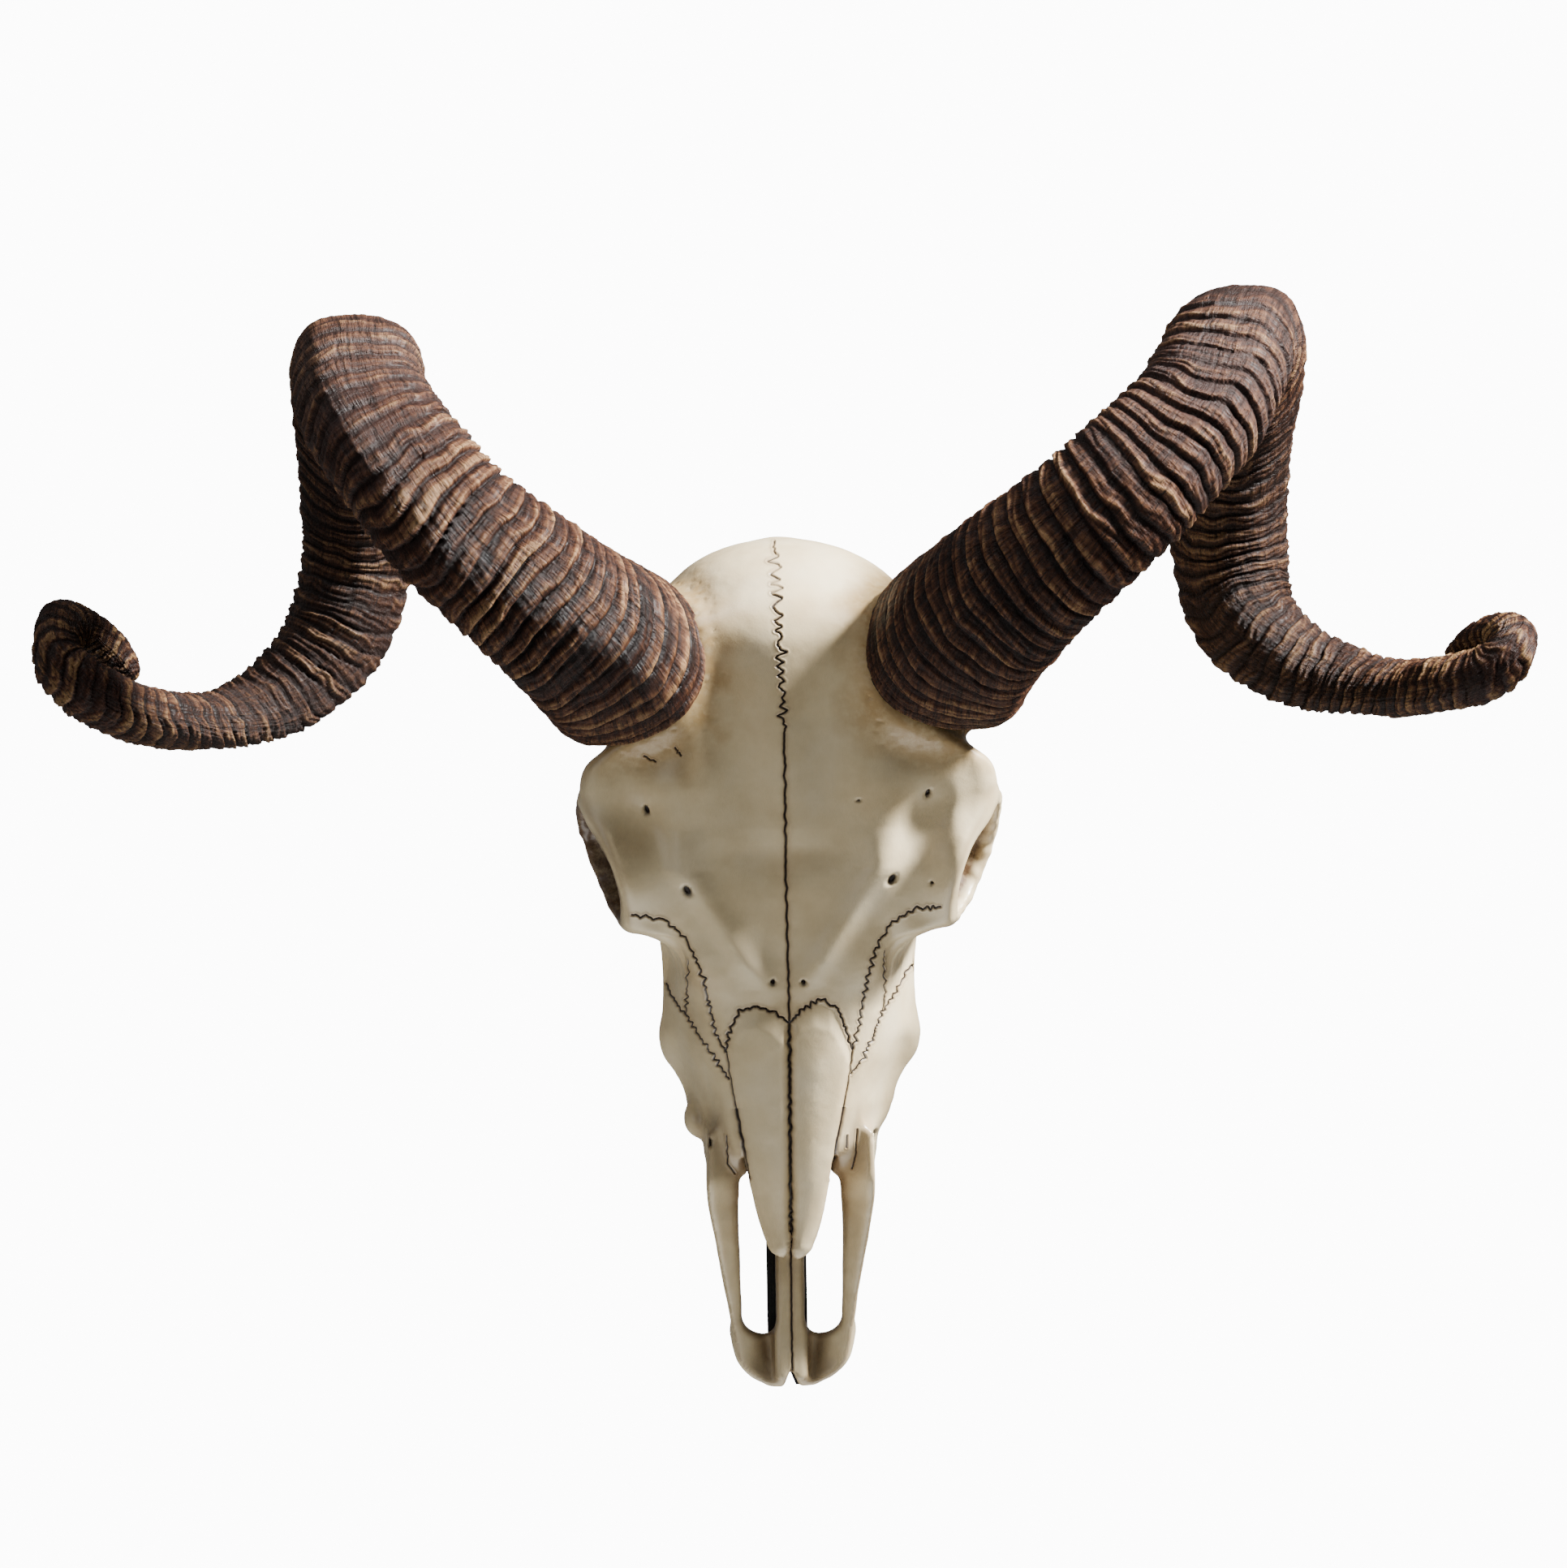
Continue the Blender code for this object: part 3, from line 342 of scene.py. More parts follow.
def bone(x, z, d):
    """Signed distance, near enough, to the surface of the whole skull: negative inside."""
    p = (np.where(x > 0, x / (1 + SIDE_BIAS), -x / (1 - SIDE_BIAS)), z, d)
    out, away = orbit_frame(p)
    socket = smooth_max(smooth_max(away - ORBIT_RADIUS - ORBIT_RIM, out, 0.004), -0.036 - out, 0.006)
    skull = smooth_min(frontal(p), muzzle(p), 0.008)
    skull = smooth_min(skull, socket, 0.006)
    skull = smooth_min(skull, braincase(p), 0.014)
    skull = smooth_min(skull, cheek_arch(p), 0.005)
    skull = smooth_min(skull, pedicle(p), 0.01)
    eye = np.sqrt((away / ORBIT_RADIUS) ** 2 + (np.minimum(out, 0) / ORBIT_DEPTH) ** 2) - 1
    skull = smooth_max(skull, -eye * ORBIT_RADIUS, 0.002)
    across = p[0]
    room = smooth_max(across - ROOM_WIDTH, ROOM_BACK - d, 0.006)
    roof = along(z, FACE_HEIGHT) - NASAL_THICK - NASAL_BOW * across * across
    room = smooth_max(room, d - roof, 0.004)
    room = smooth_max(room, z + 0.068, 0.008)
    skull = smooth_max(skull, -room, 0.003)
    lump = ellipsoid((x, z, d), (-0.0318, -0.1085, 0.028), (0.0048, 0.0065, 0.0075))
    skull = smooth_min(skull, lump, 0.003)
    skull = np.minimum(skull, nasals(p))
    run = np.clip(z, -0.18, -0.131)
    fissure = np.hypot(across - 0.0118 - 0.0002 * np.cos(70 * (z + 0.15)), z - run) - 0.0062
    snout = smooth_max(beak(p), -fissure, 0.003)
    skull = smooth_max(skull, -smooth_max(fissure, d - 0.02, 0.002), 0.003)
    skull = smooth_min(skull, snout, 0.007)
    board = np.maximum(np.maximum(x - board_edge(z, 1), -x - board_edge(z, -1)), d - BOARD_THICK)
    return np.maximum(skull, 0.0012 - board)


def surface_net(field, low, high, step):
    """Vertices and quads of the surface where field is zero, on a cubic grid."""
    axes = [np.arange(a - 2 * step, b + 2 * step, step) for a, b in zip(low, high)]
    value = field(*np.meshgrid(*axes, indexing="ij"))
    inside = value < 0
    shape = tuple(n - 1 for n in value.shape)
    total = np.zeros(shape + (3,))
    count = np.zeros(shape)
    for axis in range(3):
        a = np.moveaxis(value, axis, 0)
        v0, v1 = a[:-1], a[1:]
        crossed = (v0 < 0) != (v1 < 0)
        part = np.where(crossed, v0 / np.where(crossed, v0 - v1, 1), 0)
        crossed, part = np.moveaxis(crossed, 0, axis), np.moveaxis(part, 0, axis)
        others = [i for i in range(3) if i != axis]
        for i in (0, 1):
            for j in (0, 1):
                pick = [slice(None)] * 3
                pick[others[0]] = slice(i, shape[others[0]] + i)
                pick[others[1]] = slice(j, shape[others[1]] + j)
                hit, share = crossed[tuple(pick)], part[tuple(pick)]
                total[..., axis] += share
                total[..., others[0]] += hit * i
                total[..., others[1]] += hit * j
                count += hit
    active = count > 0
    index = np.full(shape, -1)
    index[active] = np.arange(active.sum())
    corner = np.stack(np.nonzero(active), axis=1)
    points = corner + total[active] / count[active][:, None]
    points = points * step + np.array([a[0] for a in axes])
    quads = []
    for axis in range(3):
        others = [i for i in range(3) if i != axis]
        a, b = np.moveaxis(inside, axis, 0)[:-1], np.moveaxis(inside, axis, 0)[1:]
        cut = np.moveaxis(a != b, 0, axis)
        start = np.moveaxis(a, 0, axis)
        where = np.stack(np.nonzero(cut), axis=1)
        ring = []
        for i, j in ((-1, -1), (0, -1), (0, 0), (-1, 0)):
            cell = where.copy()
            cell[:, others[0]] += i
            cell[:, others[1]] += j
            ring.append(index[tuple(cell.T)])
        ring = np.stack(ring, axis=1)
        turned = start[tuple(where.T)] ^ (axis != 1)
        ring[turned] = ring[turned][:, ::-1]
        quads.append(ring)
    return points, np.concatenate(quads)


def bone_at(points):
    return bone(points[:, 0], points[:, 1], points[:, 2])


def bone_slope(points, reach=0.0004):
    """Direction out of the bone at each point, and how far from the surface it is."""
    here = bone_at(points)
    steps = reach * np.eye(3)
    slope = np.stack([bone_at(points + step) - bone_at(points - step) for step in steps], axis=1)
    slope /= 2 * reach
    size = np.maximum(np.linalg.norm(slope, axis=1), 0.3)
    return here / size, slope / size[:, None]


def settled(points, rounds):
    """Points moved onto the bone's surface."""
    for _ in range(rounds):
        off, slope = bone_slope(points)
        points = points - np.clip(off, -0.0012, 0.0012)[:, None] * slope
    return points


def to_world(points):
    """Points given as x, z and d in the frame of the solids."""
    return np.stack([points[:, 0], -points[:, 2], points[:, 1]], axis=1)


def new_mesh(name, points, faces):
    """A mesh from points given as x, z and d, with every face looking out."""
    mesh = bpy.data.meshes.new(name)
    mesh.from_pydata([tuple(v) for v in to_world(points)], [], faces)
    bm = bmesh.new()
    bm.from_mesh(mesh)
    bmesh.ops.recalc_face_normals(bm, faces=bm.faces)
    bm.to_mesh(mesh)
    bm.free()
    return mesh


skull_points, skull_quads = surface_net(bone, (-0.096, -0.21, -0.004), (0.096, 0.104, 0.136), SKIN_STEP)
skull_points = settled(skull_points, 2)
skull_mesh = new_mesh("skull_casting", skull_points, [tuple(f) for f in skull_quads])

# Sutures: each is a line of x and z on the face, its swing to both sides, the pitch of the swings, the half
# width of the groove and how strong it is.
sutures = (
    # the seam along the top of the head, strongly zigzag and then almost straight down to the nose
    ([(-0.0009, 0.0945), (-0.0004, 0.075), (0.0006, 0.05), (0.0015, 0.027)], 0.0017, 0.004, 0.00032, 1.0),
    ([(0.0015, 0.027), (0.0013, -0.02), (0.0015, -0.0738)], 0.0003, 0.007, 0.00037, 1.0),
    # between the nasal bones, and between the two halves of the beak
    ([(0.0015, -0.0738), (0.0011, -0.115), (0.0008, -0.154)], 0.0003, 0.0048, 0.00049, 1.0),
    ([(0.0007, -0.15), (0.0004, -0.2)], 0.0001, 0.006, 0.00035, 0.9),
    # over the top of the nasal bones
    (
        [
            (0.0015, -0.0738), (-0.004, -0.0697), (-0.0096, -0.0677), (-0.0157, -0.0693), (-0.0198, -0.077),
            (-0.021, -0.0838),
        ],
        0.0006, 0.003, 0.00033, 1.0,
    ),
    (
        [
            (0.0015, -0.0738), (0.006, -0.069), (0.0127, -0.0654), (0.0187, -0.069), (0.0223, -0.0806),
            (0.0234, -0.0838),
        ],
        0.0006, 0.003, 0.00033, 1.0,
    ),
    # from the nose out to the rim of each eye socket
    (
        [
            (-0.021, -0.0838), (-0.0243, -0.0775), (-0.0288, -0.0552), (-0.0334, -0.0451), (-0.0415, -0.037),
            (-0.0526, -0.035),
        ],
        0.0007, 0.0032, 0.00032, 0.9,
    ),
    (
        [
            (0.0234, -0.0838), (0.0256, -0.076), (0.0289, -0.0588), (0.032, -0.0487), (0.0374, -0.0401),
            (0.0455, -0.0347), (0.0546, -0.0341),
        ],
        0.0007, 0.0032, 0.00032, 0.9,
    ),
    # round the lacrimal and cheek bones
    ([(-0.0342, -0.0519), (-0.0345, -0.0585), (-0.035, -0.0708)], 0.0006, 0.0034, 0.00026, 0.8),
    (
        [
            (-0.0425, -0.0605), (-0.038, -0.0685), (-0.035, -0.0708), (-0.0305, -0.078), (-0.0265, -0.0835),
            (-0.0222, -0.0905), (-0.02, -0.0935),
        ],
        0.0006, 0.003, 0.0003, 0.9,
    ),
    ([(0.036, -0.0502), (0.0356, -0.062), (0.0343, -0.0708)], 0.0006, 0.0034, 0.00026, 0.8),
    (
        [
            (0.046, -0.0555), (0.0405, -0.063), (0.0343, -0.0708), (0.0305, -0.08), (0.027, -0.0873),
            (0.0226, -0.0925),
        ],
        0.0006, 0.003, 0.0003, 0.9,
    ),
    # the open slits along the nasal bones, widening towards the nose
    ([(-0.0207, -0.0838), (-0.0196, -0.093), (-0.0178, -0.104)], 0.0002, 0.006, 0.00028, 0.7),
    ([(-0.0178, -0.104), (-0.0158, -0.115), (-0.0137, -0.129)], 0.0002, 0.006, 0.00053, 0.9),
    ([(0.0234, -0.0838), (0.0219, -0.093), (0.0199, -0.104)], 0.0002, 0.006, 0.00028, 0.7),
    ([(0.0199, -0.104), (0.0177, -0.115), (0.0149, -0.129)], 0.0002, 0.006, 0.00053, 0.9),
    # the forks where the beak is let into the cheeks
    ([(-0.0214, -0.114), (-0.021, -0.124), (-0.0186, -0.1275)], 0.0002, 0.005, 0.00026, 0.7),
    ([(0.0248, -0.1125), (0.024, -0.122), (0.0226, -0.1265)], 0.0002, 0.005, 0.00026, 0.7),
    ([(0.0213, -0.1145), (0.021, -0.119)], 0.0001, 0.005, 0.00026, 0.8),
    # short cracks under the left horn
    ([(-0.047, 0.02), (-0.043, 0.018)], 0.0003, 0.002, 0.00025, 0.8),
    ([(-0.0362, 0.0228), (-0.034, 0.02)], 0.0003, 0.002, 0.00025, 0.8),
)
# Small openings for vessels: x, z, half width, half height, lean in radians
pores = (
    (-0.033, -0.0265, 0.0014, 0.0022, 0.5),
    (0.0379, -0.0242, 0.0014, 0.0022, -0.6),
    (-0.0472, 0.0008, 0.0008, 0.0017, 0.3),
    (0.0511, 0.005, 0.0008, 0.0016, -0.3),
    (-0.0041, -0.0596, 0.0009, 0.0011, 0.0),
    (0.0067, -0.0596, 0.0009, 0.0011, 0.0),
    (0.0268, 0.0034, 0.0005, 0.0006, 0.0),
    (0.0516, -0.026, 0.0006, 0.0007, 0.0),
    (-0.0271, -0.1161, 0.0009, 0.0018, 0.2),
    (0.0312, -0.115, 0.0009, 0.0018, -0.2),
)


def lattice_noise(p, seed):
    """Smooth noise from -1 to 1 at points given in cell units."""
    cell = np.floor(p).astype(np.int64)
    u = p - cell
    u = u * u * (3 - 2 * u)
    total = 0
    for corner in range(8):
        step = np.array([corner & 1, corner >> 1 & 1, corner >> 2 & 1])
        q = cell + step
        h = (q[:, 0] * 73856093) ^ (q[:, 1] * 19349663) ^ (q[:, 2] * 83492791) ^ (seed * 2654435761)
        h = (h ^ (h >> 13)) * 1274126177 & 0x7FFFFFFF
        h = (h ^ (h >> 16)) & 0xFFFF
        weight = np.prod(np.where(step, u, 1 - u), axis=1)
        total = total + weight * (h / 32767.5 - 1)
    return total


def set_attribute(mesh, name, values, kind="FLOAT"):
    """Write one value or vector for each vertex, for the material to read."""
    layer = mesh.attributes.new(name, kind, "POINT")
    field = "value" if kind == "FLOAT" else "vector"
    layer.data.foreach_set(field, np.ascontiguousarray(values, dtype=np.float32).ravel())


def wandering(points, swing, pitch, seed):
    """A dense line through the points that zigzags unevenly about them."""
    corner = np.array(points)
    length = np.concatenate([[0], np.cumsum(np.linalg.norm(np.diff(corner, axis=0), axis=1))])
    at = np.arange(0, length[-1], 0.00012)
    line = np.stack([np.interp(at, length, corner[:, i]) for i in (0, 1)], axis=1)
    run = np.gradient(line, axis=0)
    run /= np.linalg.norm(run, axis=1)[:, None]
    side = np.stack([-run[:, 1], run[:, 0]], axis=1)

    def noise(place, across, level, number):
        """Noise along the line; across and level pick the slice of it."""
        return lattice_noise(np.stack([place, at * 0 + across, at * 0 + level], axis=1), number)

    stretch = at + 0.75 * pitch * noise(at / pitch / 1.7, 0, 3.3, seed)
    phase = stretch / pitch % 1
    wave = np.where(phase < 0.5, 4 * phase - 1, 3 - 4 * phase)
    size = 0.75 + 0.8 * noise(at / pitch / 1.1, 7.7, 0, seed + 50)
    small = 0.5 * noise(at / pitch * 4.1, 1.3, 0, seed + 90)
    ends = np.clip(np.minimum(at, length[-1] - at) / pitch, 0, 1)
    return line + side * (swing * (wave * size + small) * ends)[:, None]


lines = [wandering(*suture[:3], 10 + i) for i, suture in enumerate(sutures)]
seam_tree = KDTree(sum(len(line) for line in lines))
owner = []
for i, line in enumerate(lines):
    for x, z in line:
        seam_tree.insert((x, z, 0.0), len(owner))
        owner.append(i)
seam_tree.balance()
owner = np.array(owner)


def face_marks(points, out):
    """For each point: distance to the nearest suture, its number, and depth inside the nearest pore."""
    far = np.full(len(points), 0.05)
    which = np.zeros(len(points), dtype=int)
    front = np.nonzero((out[:, 2] > 0.02) & (points[:, 2] > 0.012))[0]
    for i in front:
        _, index, gap = seam_tree.find((points[i, 0], points[i, 1], 0.0))
        far[i] = gap
        which[i] = owner[index]
    hole = np.zeros(len(points))
    for x, z, w, h, lean in pores:
        a, b = points[:, 0] - x, points[:, 1] - z
        u = (a * math.cos(lean) + b * math.sin(lean)) / w
        v = (b * math.cos(lean) - a * math.sin(lean)) / h
        inside = np.clip(1.25 - np.hypot(u, v), 0, 1)
        hole = np.maximum(hole, np.where(out[:, 2] > 0.02, inside, 0))
    return far, which, hole


def read_vectors(rows, field):
    """One vector for each vertex, as x, z and d."""
    raw = np.empty(len(rows) * 3, dtype=np.float32)
    rows.foreach_get(field, raw)
    raw = raw.reshape(-1, 3).astype(float)
    return np.stack([raw[:, 0], raw[:, 2], -raw[:, 1]], axis=1)


def mesh_points(mesh):
    return read_vectors(mesh.vertices, "co")


def mesh_normals(mesh):
    return read_vectors(mesh.vertex_normals, "vector")


def split_near(mesh, chosen):
    """Cut in half every edge whose two ends are chosen."""
    bm = bmesh.new()
    bm.from_mesh(mesh)
    edges = [e for e in bm.edges if chosen[e.verts[0].index] and chosen[e.verts[1].index]]
    bmesh.ops.subdivide_edges(bm, edges=edges, cuts=1, use_grid_fill=True)
    bm.to_mesh(mesh)
    bm.free()


def write_points(mesh, points):
    mesh.vertices.foreach_set("co", to_world(points).astype(np.float32).ravel())
    mesh.update()


# The skin is refined everywhere once and then only along the sutures and round the pores.
split_near(skull_mesh, np.ones(len(skull_mesh.vertices), dtype=bool))
write_points(skull_mesh, settled(mesh_points(skull_mesh), 2))
for reach in (0.0024, 0.0015, 0.0009):
    spots = mesh_points(skull_mesh)
    near, _, pit = face_marks(spots, mesh_normals(skull_mesh))
    split_near(skull_mesh, (near < reach) | (pit > 0))
spots = settled(mesh_points(skull_mesh), 1)
write_points(skull_mesh, spots)
out = mesh_normals(skull_mesh)
near, which, pit = face_marks(spots, out)

# Painted shade: how closed in each spot is, from the room in front of it; the recesses are darkened brown by
# this as shade.
recess_shade = np.zeros(len(spots))
for reach, weight in ((0.0025, 0.3), (0.006, 0.35), (0.014, 0.35)):
    recess_shade += weight * np.clip(1 - bone_at(spots + out * reach) / reach, 0, 1)

# Stain round the foot of each horn: full at the foot, and gone a little way out from it
FOOT_RADIUS = 0.031
STAIN_REACH = 0.011
foot = np.full(len(spots), 1.0)
for seat in ((-0.0505, 0.051, 0.087), (0.0555, 0.052, 0.087)):
    away = spots - np.array(seat)
    lean = np.array(HORN_DIRECTION) * (math.copysign(1, seat[0]), 1, 1)
    along_axis = np.clip((away * lean).sum(axis=1), -0.02, 0.02)
    radial = np.linalg.norm(away - along_axis[:, None] * lean, axis=1)
    foot = np.minimum(foot, np.maximum(radial - FOOT_RADIUS, 0))
uneven = lattice_noise(spots / 0.0065, 5)
stain = np.clip(1.15 - foot / STAIN_REACH + 0.35 * uneven, 0, 1)

half_width = np.array([s[3] for s in sutures])[which]
strength = np.array([s[4] for s in sutures])[which]
broken = np.clip(0.85 + 0.5 * lattice_noise(spots / 0.0022, 9), 0.25, 1)
cut = np.exp(-((near / half_width) ** 2)) * strength
halo = np.exp(-((near / (half_width * 3.0)) ** 2)) * strength
cracked = (np.abs(spots[:, 1] - 0.085) < 0.01) & (np.abs(spots[:, 0]) < 0.006)
cut = np.where(cracked, cut * np.clip(broken - 0.35, 0, 1), cut)

# Relief: engraved sutures with a slight lip, pores, pits in the stain, and the slow unevenness of old bone.
SUTURE_DEPTH = 0.00055
LIP_HEIGHT = 0.00012
PORE_DEPTH = 0.0016
PIT_DEPTH = 0.0009
relief = -SUTURE_DEPTH * cut - PORE_DEPTH * np.clip(pit * 1.3, 0, 1)
relief += LIP_HEIGHT * np.exp(-(((near - 2.4 * half_width) / half_width) ** 2)) * strength
for height, pitch, seed in ((0.00022, 0.013, 1), (0.00009, 0.0045, 2), (0.00003, 0.0016, 3)):
    relief += height * lattice_noise(spots / pitch, seed)
pitted = np.clip(lattice_noise(spots / 0.0016, 4) - 0.45, 0, 1)
relief -= PIT_DEPTH * pitted * stain
socket_out, socket_away = orbit_frame((np.abs(spots[:, 0]), spots[:, 1], spots[:, 2]))
socket_wall = (
    np.exp(-(((socket_away - ORBIT_RADIUS) / 0.005) ** 2))
    * (socket_out > -0.03)
    * (spots[:, 2] < 0.075)
)
# The face: a soft V of two ridges down to the nose with a valley between them, a swelling under each
# horn, and hollows beside the seam, before each eye and inside each brow.
front = np.clip(out[:, 2] / 0.3, 0, 1)
across, up = np.abs(spots[:, 0]), spots[:, 1]
fall = np.clip((-0.02 - up) / 0.042, 0, 1)
crest = across - (0.0335 - 0.0275 * fall)
within = np.clip((-0.006 - up) / 0.016, 0, 1) * np.clip((up + 0.07) / 0.018, 0, 1)
relief += front * within * 0.0026 * np.exp(-((crest / 0.0055) ** 2))
relief -= front * within * 0.002 * np.exp(-(((across - 0.002) / 0.0095) ** 2))
for height, centre, reach in (
    (0.0018, (0.03, 0.012), (0.01, 0.011)),
    (-0.002, (0.0125, 0.02), (0.0085, 0.026)),
    (-0.0028, (0.0395, -0.05), (0.0062, 0.0105)),
    (-0.0026, (0.047, -0.006), (0.0085, 0.013)),
    (0.0012, (0.06, -0.004), (0.0045, 0.016)),
):
    relief += front * height * hump(across, up, centre, reach)
# The nasal bones: each half is rounded over, with a deep groove where they meet.
seam = np.interp(up, [-0.158, -0.074], [0.0007, 0.0015])
half = along(up, NASAL_WIDTH) * (1 + SIDE_BIAS * np.sign(spots[:, 0]))
u = np.clip(np.abs(spots[:, 0] - seam) / half, 0, 1)
arch = np.interp(
    across, [0, 0.004, 0.0096, 0.0157, 0.0198, 0.022], [-0.074, -0.0697, -0.0672, -0.069, -0.077, -0.0838]
)
nose = front * (u < 1) * np.clip((arch - up) / 0.007, 0, 1) * np.clip((up + 0.16) / 0.006, 0, 1)
CREST_HEIGHT = 0.0024
CROWN_HEIGHT = 0.0013
SEAM_DEPTH = 0.0026
relief += nose * (CREST_HEIGHT * (1 - u) + CROWN_HEIGHT * np.sin(math.pi * u))
relief -= nose * SEAM_DEPTH * np.exp(-(((spots[:, 0] - seam) / 0.0014) ** 2))
relief += 0.0006 * socket_wall * lattice_noise(spots / 0.0032, 6)
shaped = spots + out * relief[:, None]
shaped[:, 1] += 0.0007 * np.clip((-0.19 - shaped[:, 1]) / 0.012, 0, 1)
write_points(skull_mesh, shaped)
set_attribute(skull_mesh, "suture", np.clip(cut * 1.6, 0, 1))
set_attribute(skull_mesh, "halo", halo)
set_attribute(skull_mesh, "pore", np.clip(pit * 1.6, 0, 1))
set_attribute(skull_mesh, "recess_shade", recess_shade)
set_attribute(skull_mesh, "stain", stain)
# Painted shade: the inside of each eye socket, within its rim, is marked for darkening.
eye_socket_shade = (
    np.clip((ORBIT_RADIUS + 0.0046 - socket_away) / 0.002, 0, 1)
    * np.clip((0.0002 - socket_out) / 0.0025, 0, 1)
)
set_attribute(skull_mesh, "socket", eye_socket_shade * (socket_out > -0.045))
skull_mesh.polygons.foreach_set("use_smooth", np.ones(len(skull_mesh.polygons), dtype=bool))


def node(tree, kind, links=None, **values):
    """A new shader node. Values set sockets by name or number; links join sockets to outputs."""
    new = tree.nodes.new("ShaderNode" + kind)
    for key, value in values.items():
        if hasattr(new, key):
            setattr(new, key, value)
        else:
            new.inputs[key.replace("_", " ")].default_value = value
    for key, source in (links or {}).items():
        tree.links.new(source, new.inputs[key])
    return new


def ramp(tree, source, stops):
    """A colour ramp over a factor; each stop is a place and a linear colour."""
    new = tree.nodes.new("ShaderNodeValToRGB")
    while len(new.color_ramp.elements) < len(stops):
        new.color_ramp.elements.new(0.5)
    for element, (place, colour) in zip(new.color_ramp.elements, stops):
        element.position = place
        element.color = (*colour, 1)
    tree.links.new(source, new.inputs[0])
    return new.outputs[0]


def mixed(tree, share, first, second):
    """One colour laid over another; share and both colours are outputs or constants."""
    new = tree.nodes.new("ShaderNodeMix")
    new.data_type = "RGBA"
    for socket, value in ((new.inputs[0], share), (new.inputs[6], first), (new.inputs[7], second)):
        if isinstance(value, bpy.types.NodeSocket):
            tree.links.new(value, socket)
        elif isinstance(value, tuple):
            socket.default_value = (*value, 1)
        else:
            socket.default_value = value
    return new.outputs[2]


def sums(tree, what, first, second=0.0, clamp=False):
    """Arithmetic on outputs or constants."""
    new = tree.nodes.new("ShaderNodeMath")
    new.operation = what
    new.use_clamp = clamp
    for socket, value in ((new.inputs[0], first), (new.inputs[1], second)):
        if isinstance(value, bpy.types.NodeSocket):
            tree.links.new(value, socket)
        else:
            socket.default_value = value
    return new.outputs[0]


def plus(tree, first, second, clamp=False):
    return sums(tree, "ADD", first, second, clamp)


def times(tree, first, second, clamp=False):
    return sums(tree, "MULTIPLY", first, second, clamp)


def empty_material(name):
    """A new material with its node tree and its shader."""
    made = bpy.data.materials.new(name)
    made.use_nodes = True
    return made, made.node_tree, made.node_tree.nodes["Principled BSDF"]


# Mottle: the uneven tone of hand-rubbed paint, shared by every painted surface.
mottle = bpy.data.node_groups.new("mottle", "ShaderNodeTree")
mottle.interface.new_socket("Vector", in_out="INPUT", socket_type="NodeSocketVector")
mottle.interface.new_socket("Coarse", in_out="INPUT", socket_type="NodeSocketFloat")
mottle.interface.new_socket("Fine", in_out="INPUT", socket_type="NodeSocketFloat")
mottle.interface.new_socket("Tone", in_out="OUTPUT", socket_type="NodeSocketFloat")
mottle.interface.new_socket("Grain", in_out="OUTPUT", socket_type="NodeSocketFloat")
gate = mottle.nodes.new("NodeGroupInput")
exit_node = mottle.nodes.new("NodeGroupOutput")
coarse_links = {"Vector": gate.outputs[0], "Scale": gate.outputs[1]}
fine_links = {"Vector": gate.outputs[0], "Scale": gate.outputs[2]}
broad = node(mottle, "TexNoise", coarse_links, Detail=4.0, Roughness=0.55)
grain = node(mottle, "TexNoise", fine_links, Detail=6.0, Roughness=0.65)
mottle.links.new(broad.outputs[0], exit_node.inputs[0])
mottle.links.new(grain.outputs[0], exit_node.inputs[1])


def use_mottle(tree, vector, coarse, fine):
    """The tone and the grain of the mottle at two scales."""
    new = tree.nodes.new("ShaderNodeGroup")
    new.node_tree = mottle
    new.inputs["Coarse"].default_value = coarse
    new.inputs["Fine"].default_value = fine
    tree.links.new(vector, new.inputs["Vector"])
    return new.outputs["Tone"], new.outputs["Grain"]


def attribute(tree, name):
    return node(tree, "Attribute", attribute_name=name).outputs


bone_paint, tree_b, bone_shader = empty_material("bone_resin")
place = node(tree_b, "TexCoord").outputs["Object"]
tone, speck = use_mottle(tree_b, place, 38.0, 260.0)
cloud, dust = use_mottle(tree_b, place, 11.0, 1400.0)
colour = ramp(
    tree_b, tone, [(0.3, (0.69, 0.535, 0.3)), (0.52, (0.81, 0.665, 0.405)), (0.75, (0.87, 0.74, 0.5))]
)
colour = mixed(tree_b, times(tree_b, cloud, 0.3), colour, (0.62, 0.48, 0.27))
spotted = plus(tree_b, times(tree_b, speck, 2.0), -0.1, True)
stained = times(tree_b, attribute(tree_b, "stain")["Fac"], spotted, True)
colour = mixed(tree_b, stained, colour, (0.5, 0.335, 0.145))
# Painted shade: the recesses are darkened towards brown, the more so the more closed in they are.
recess_shade_share = ramp(
    tree_b,
    attribute(tree_b, "recess_shade")["Fac"],
    [(0.08, (0, 0, 0)), (0.36, (0.55, 0.55, 0.55)), (0.72, (1, 1, 1))],
)
colour = mixed(tree_b, times(tree_b, recess_shade_share, 0.8), colour, (0.17, 0.092, 0.036))
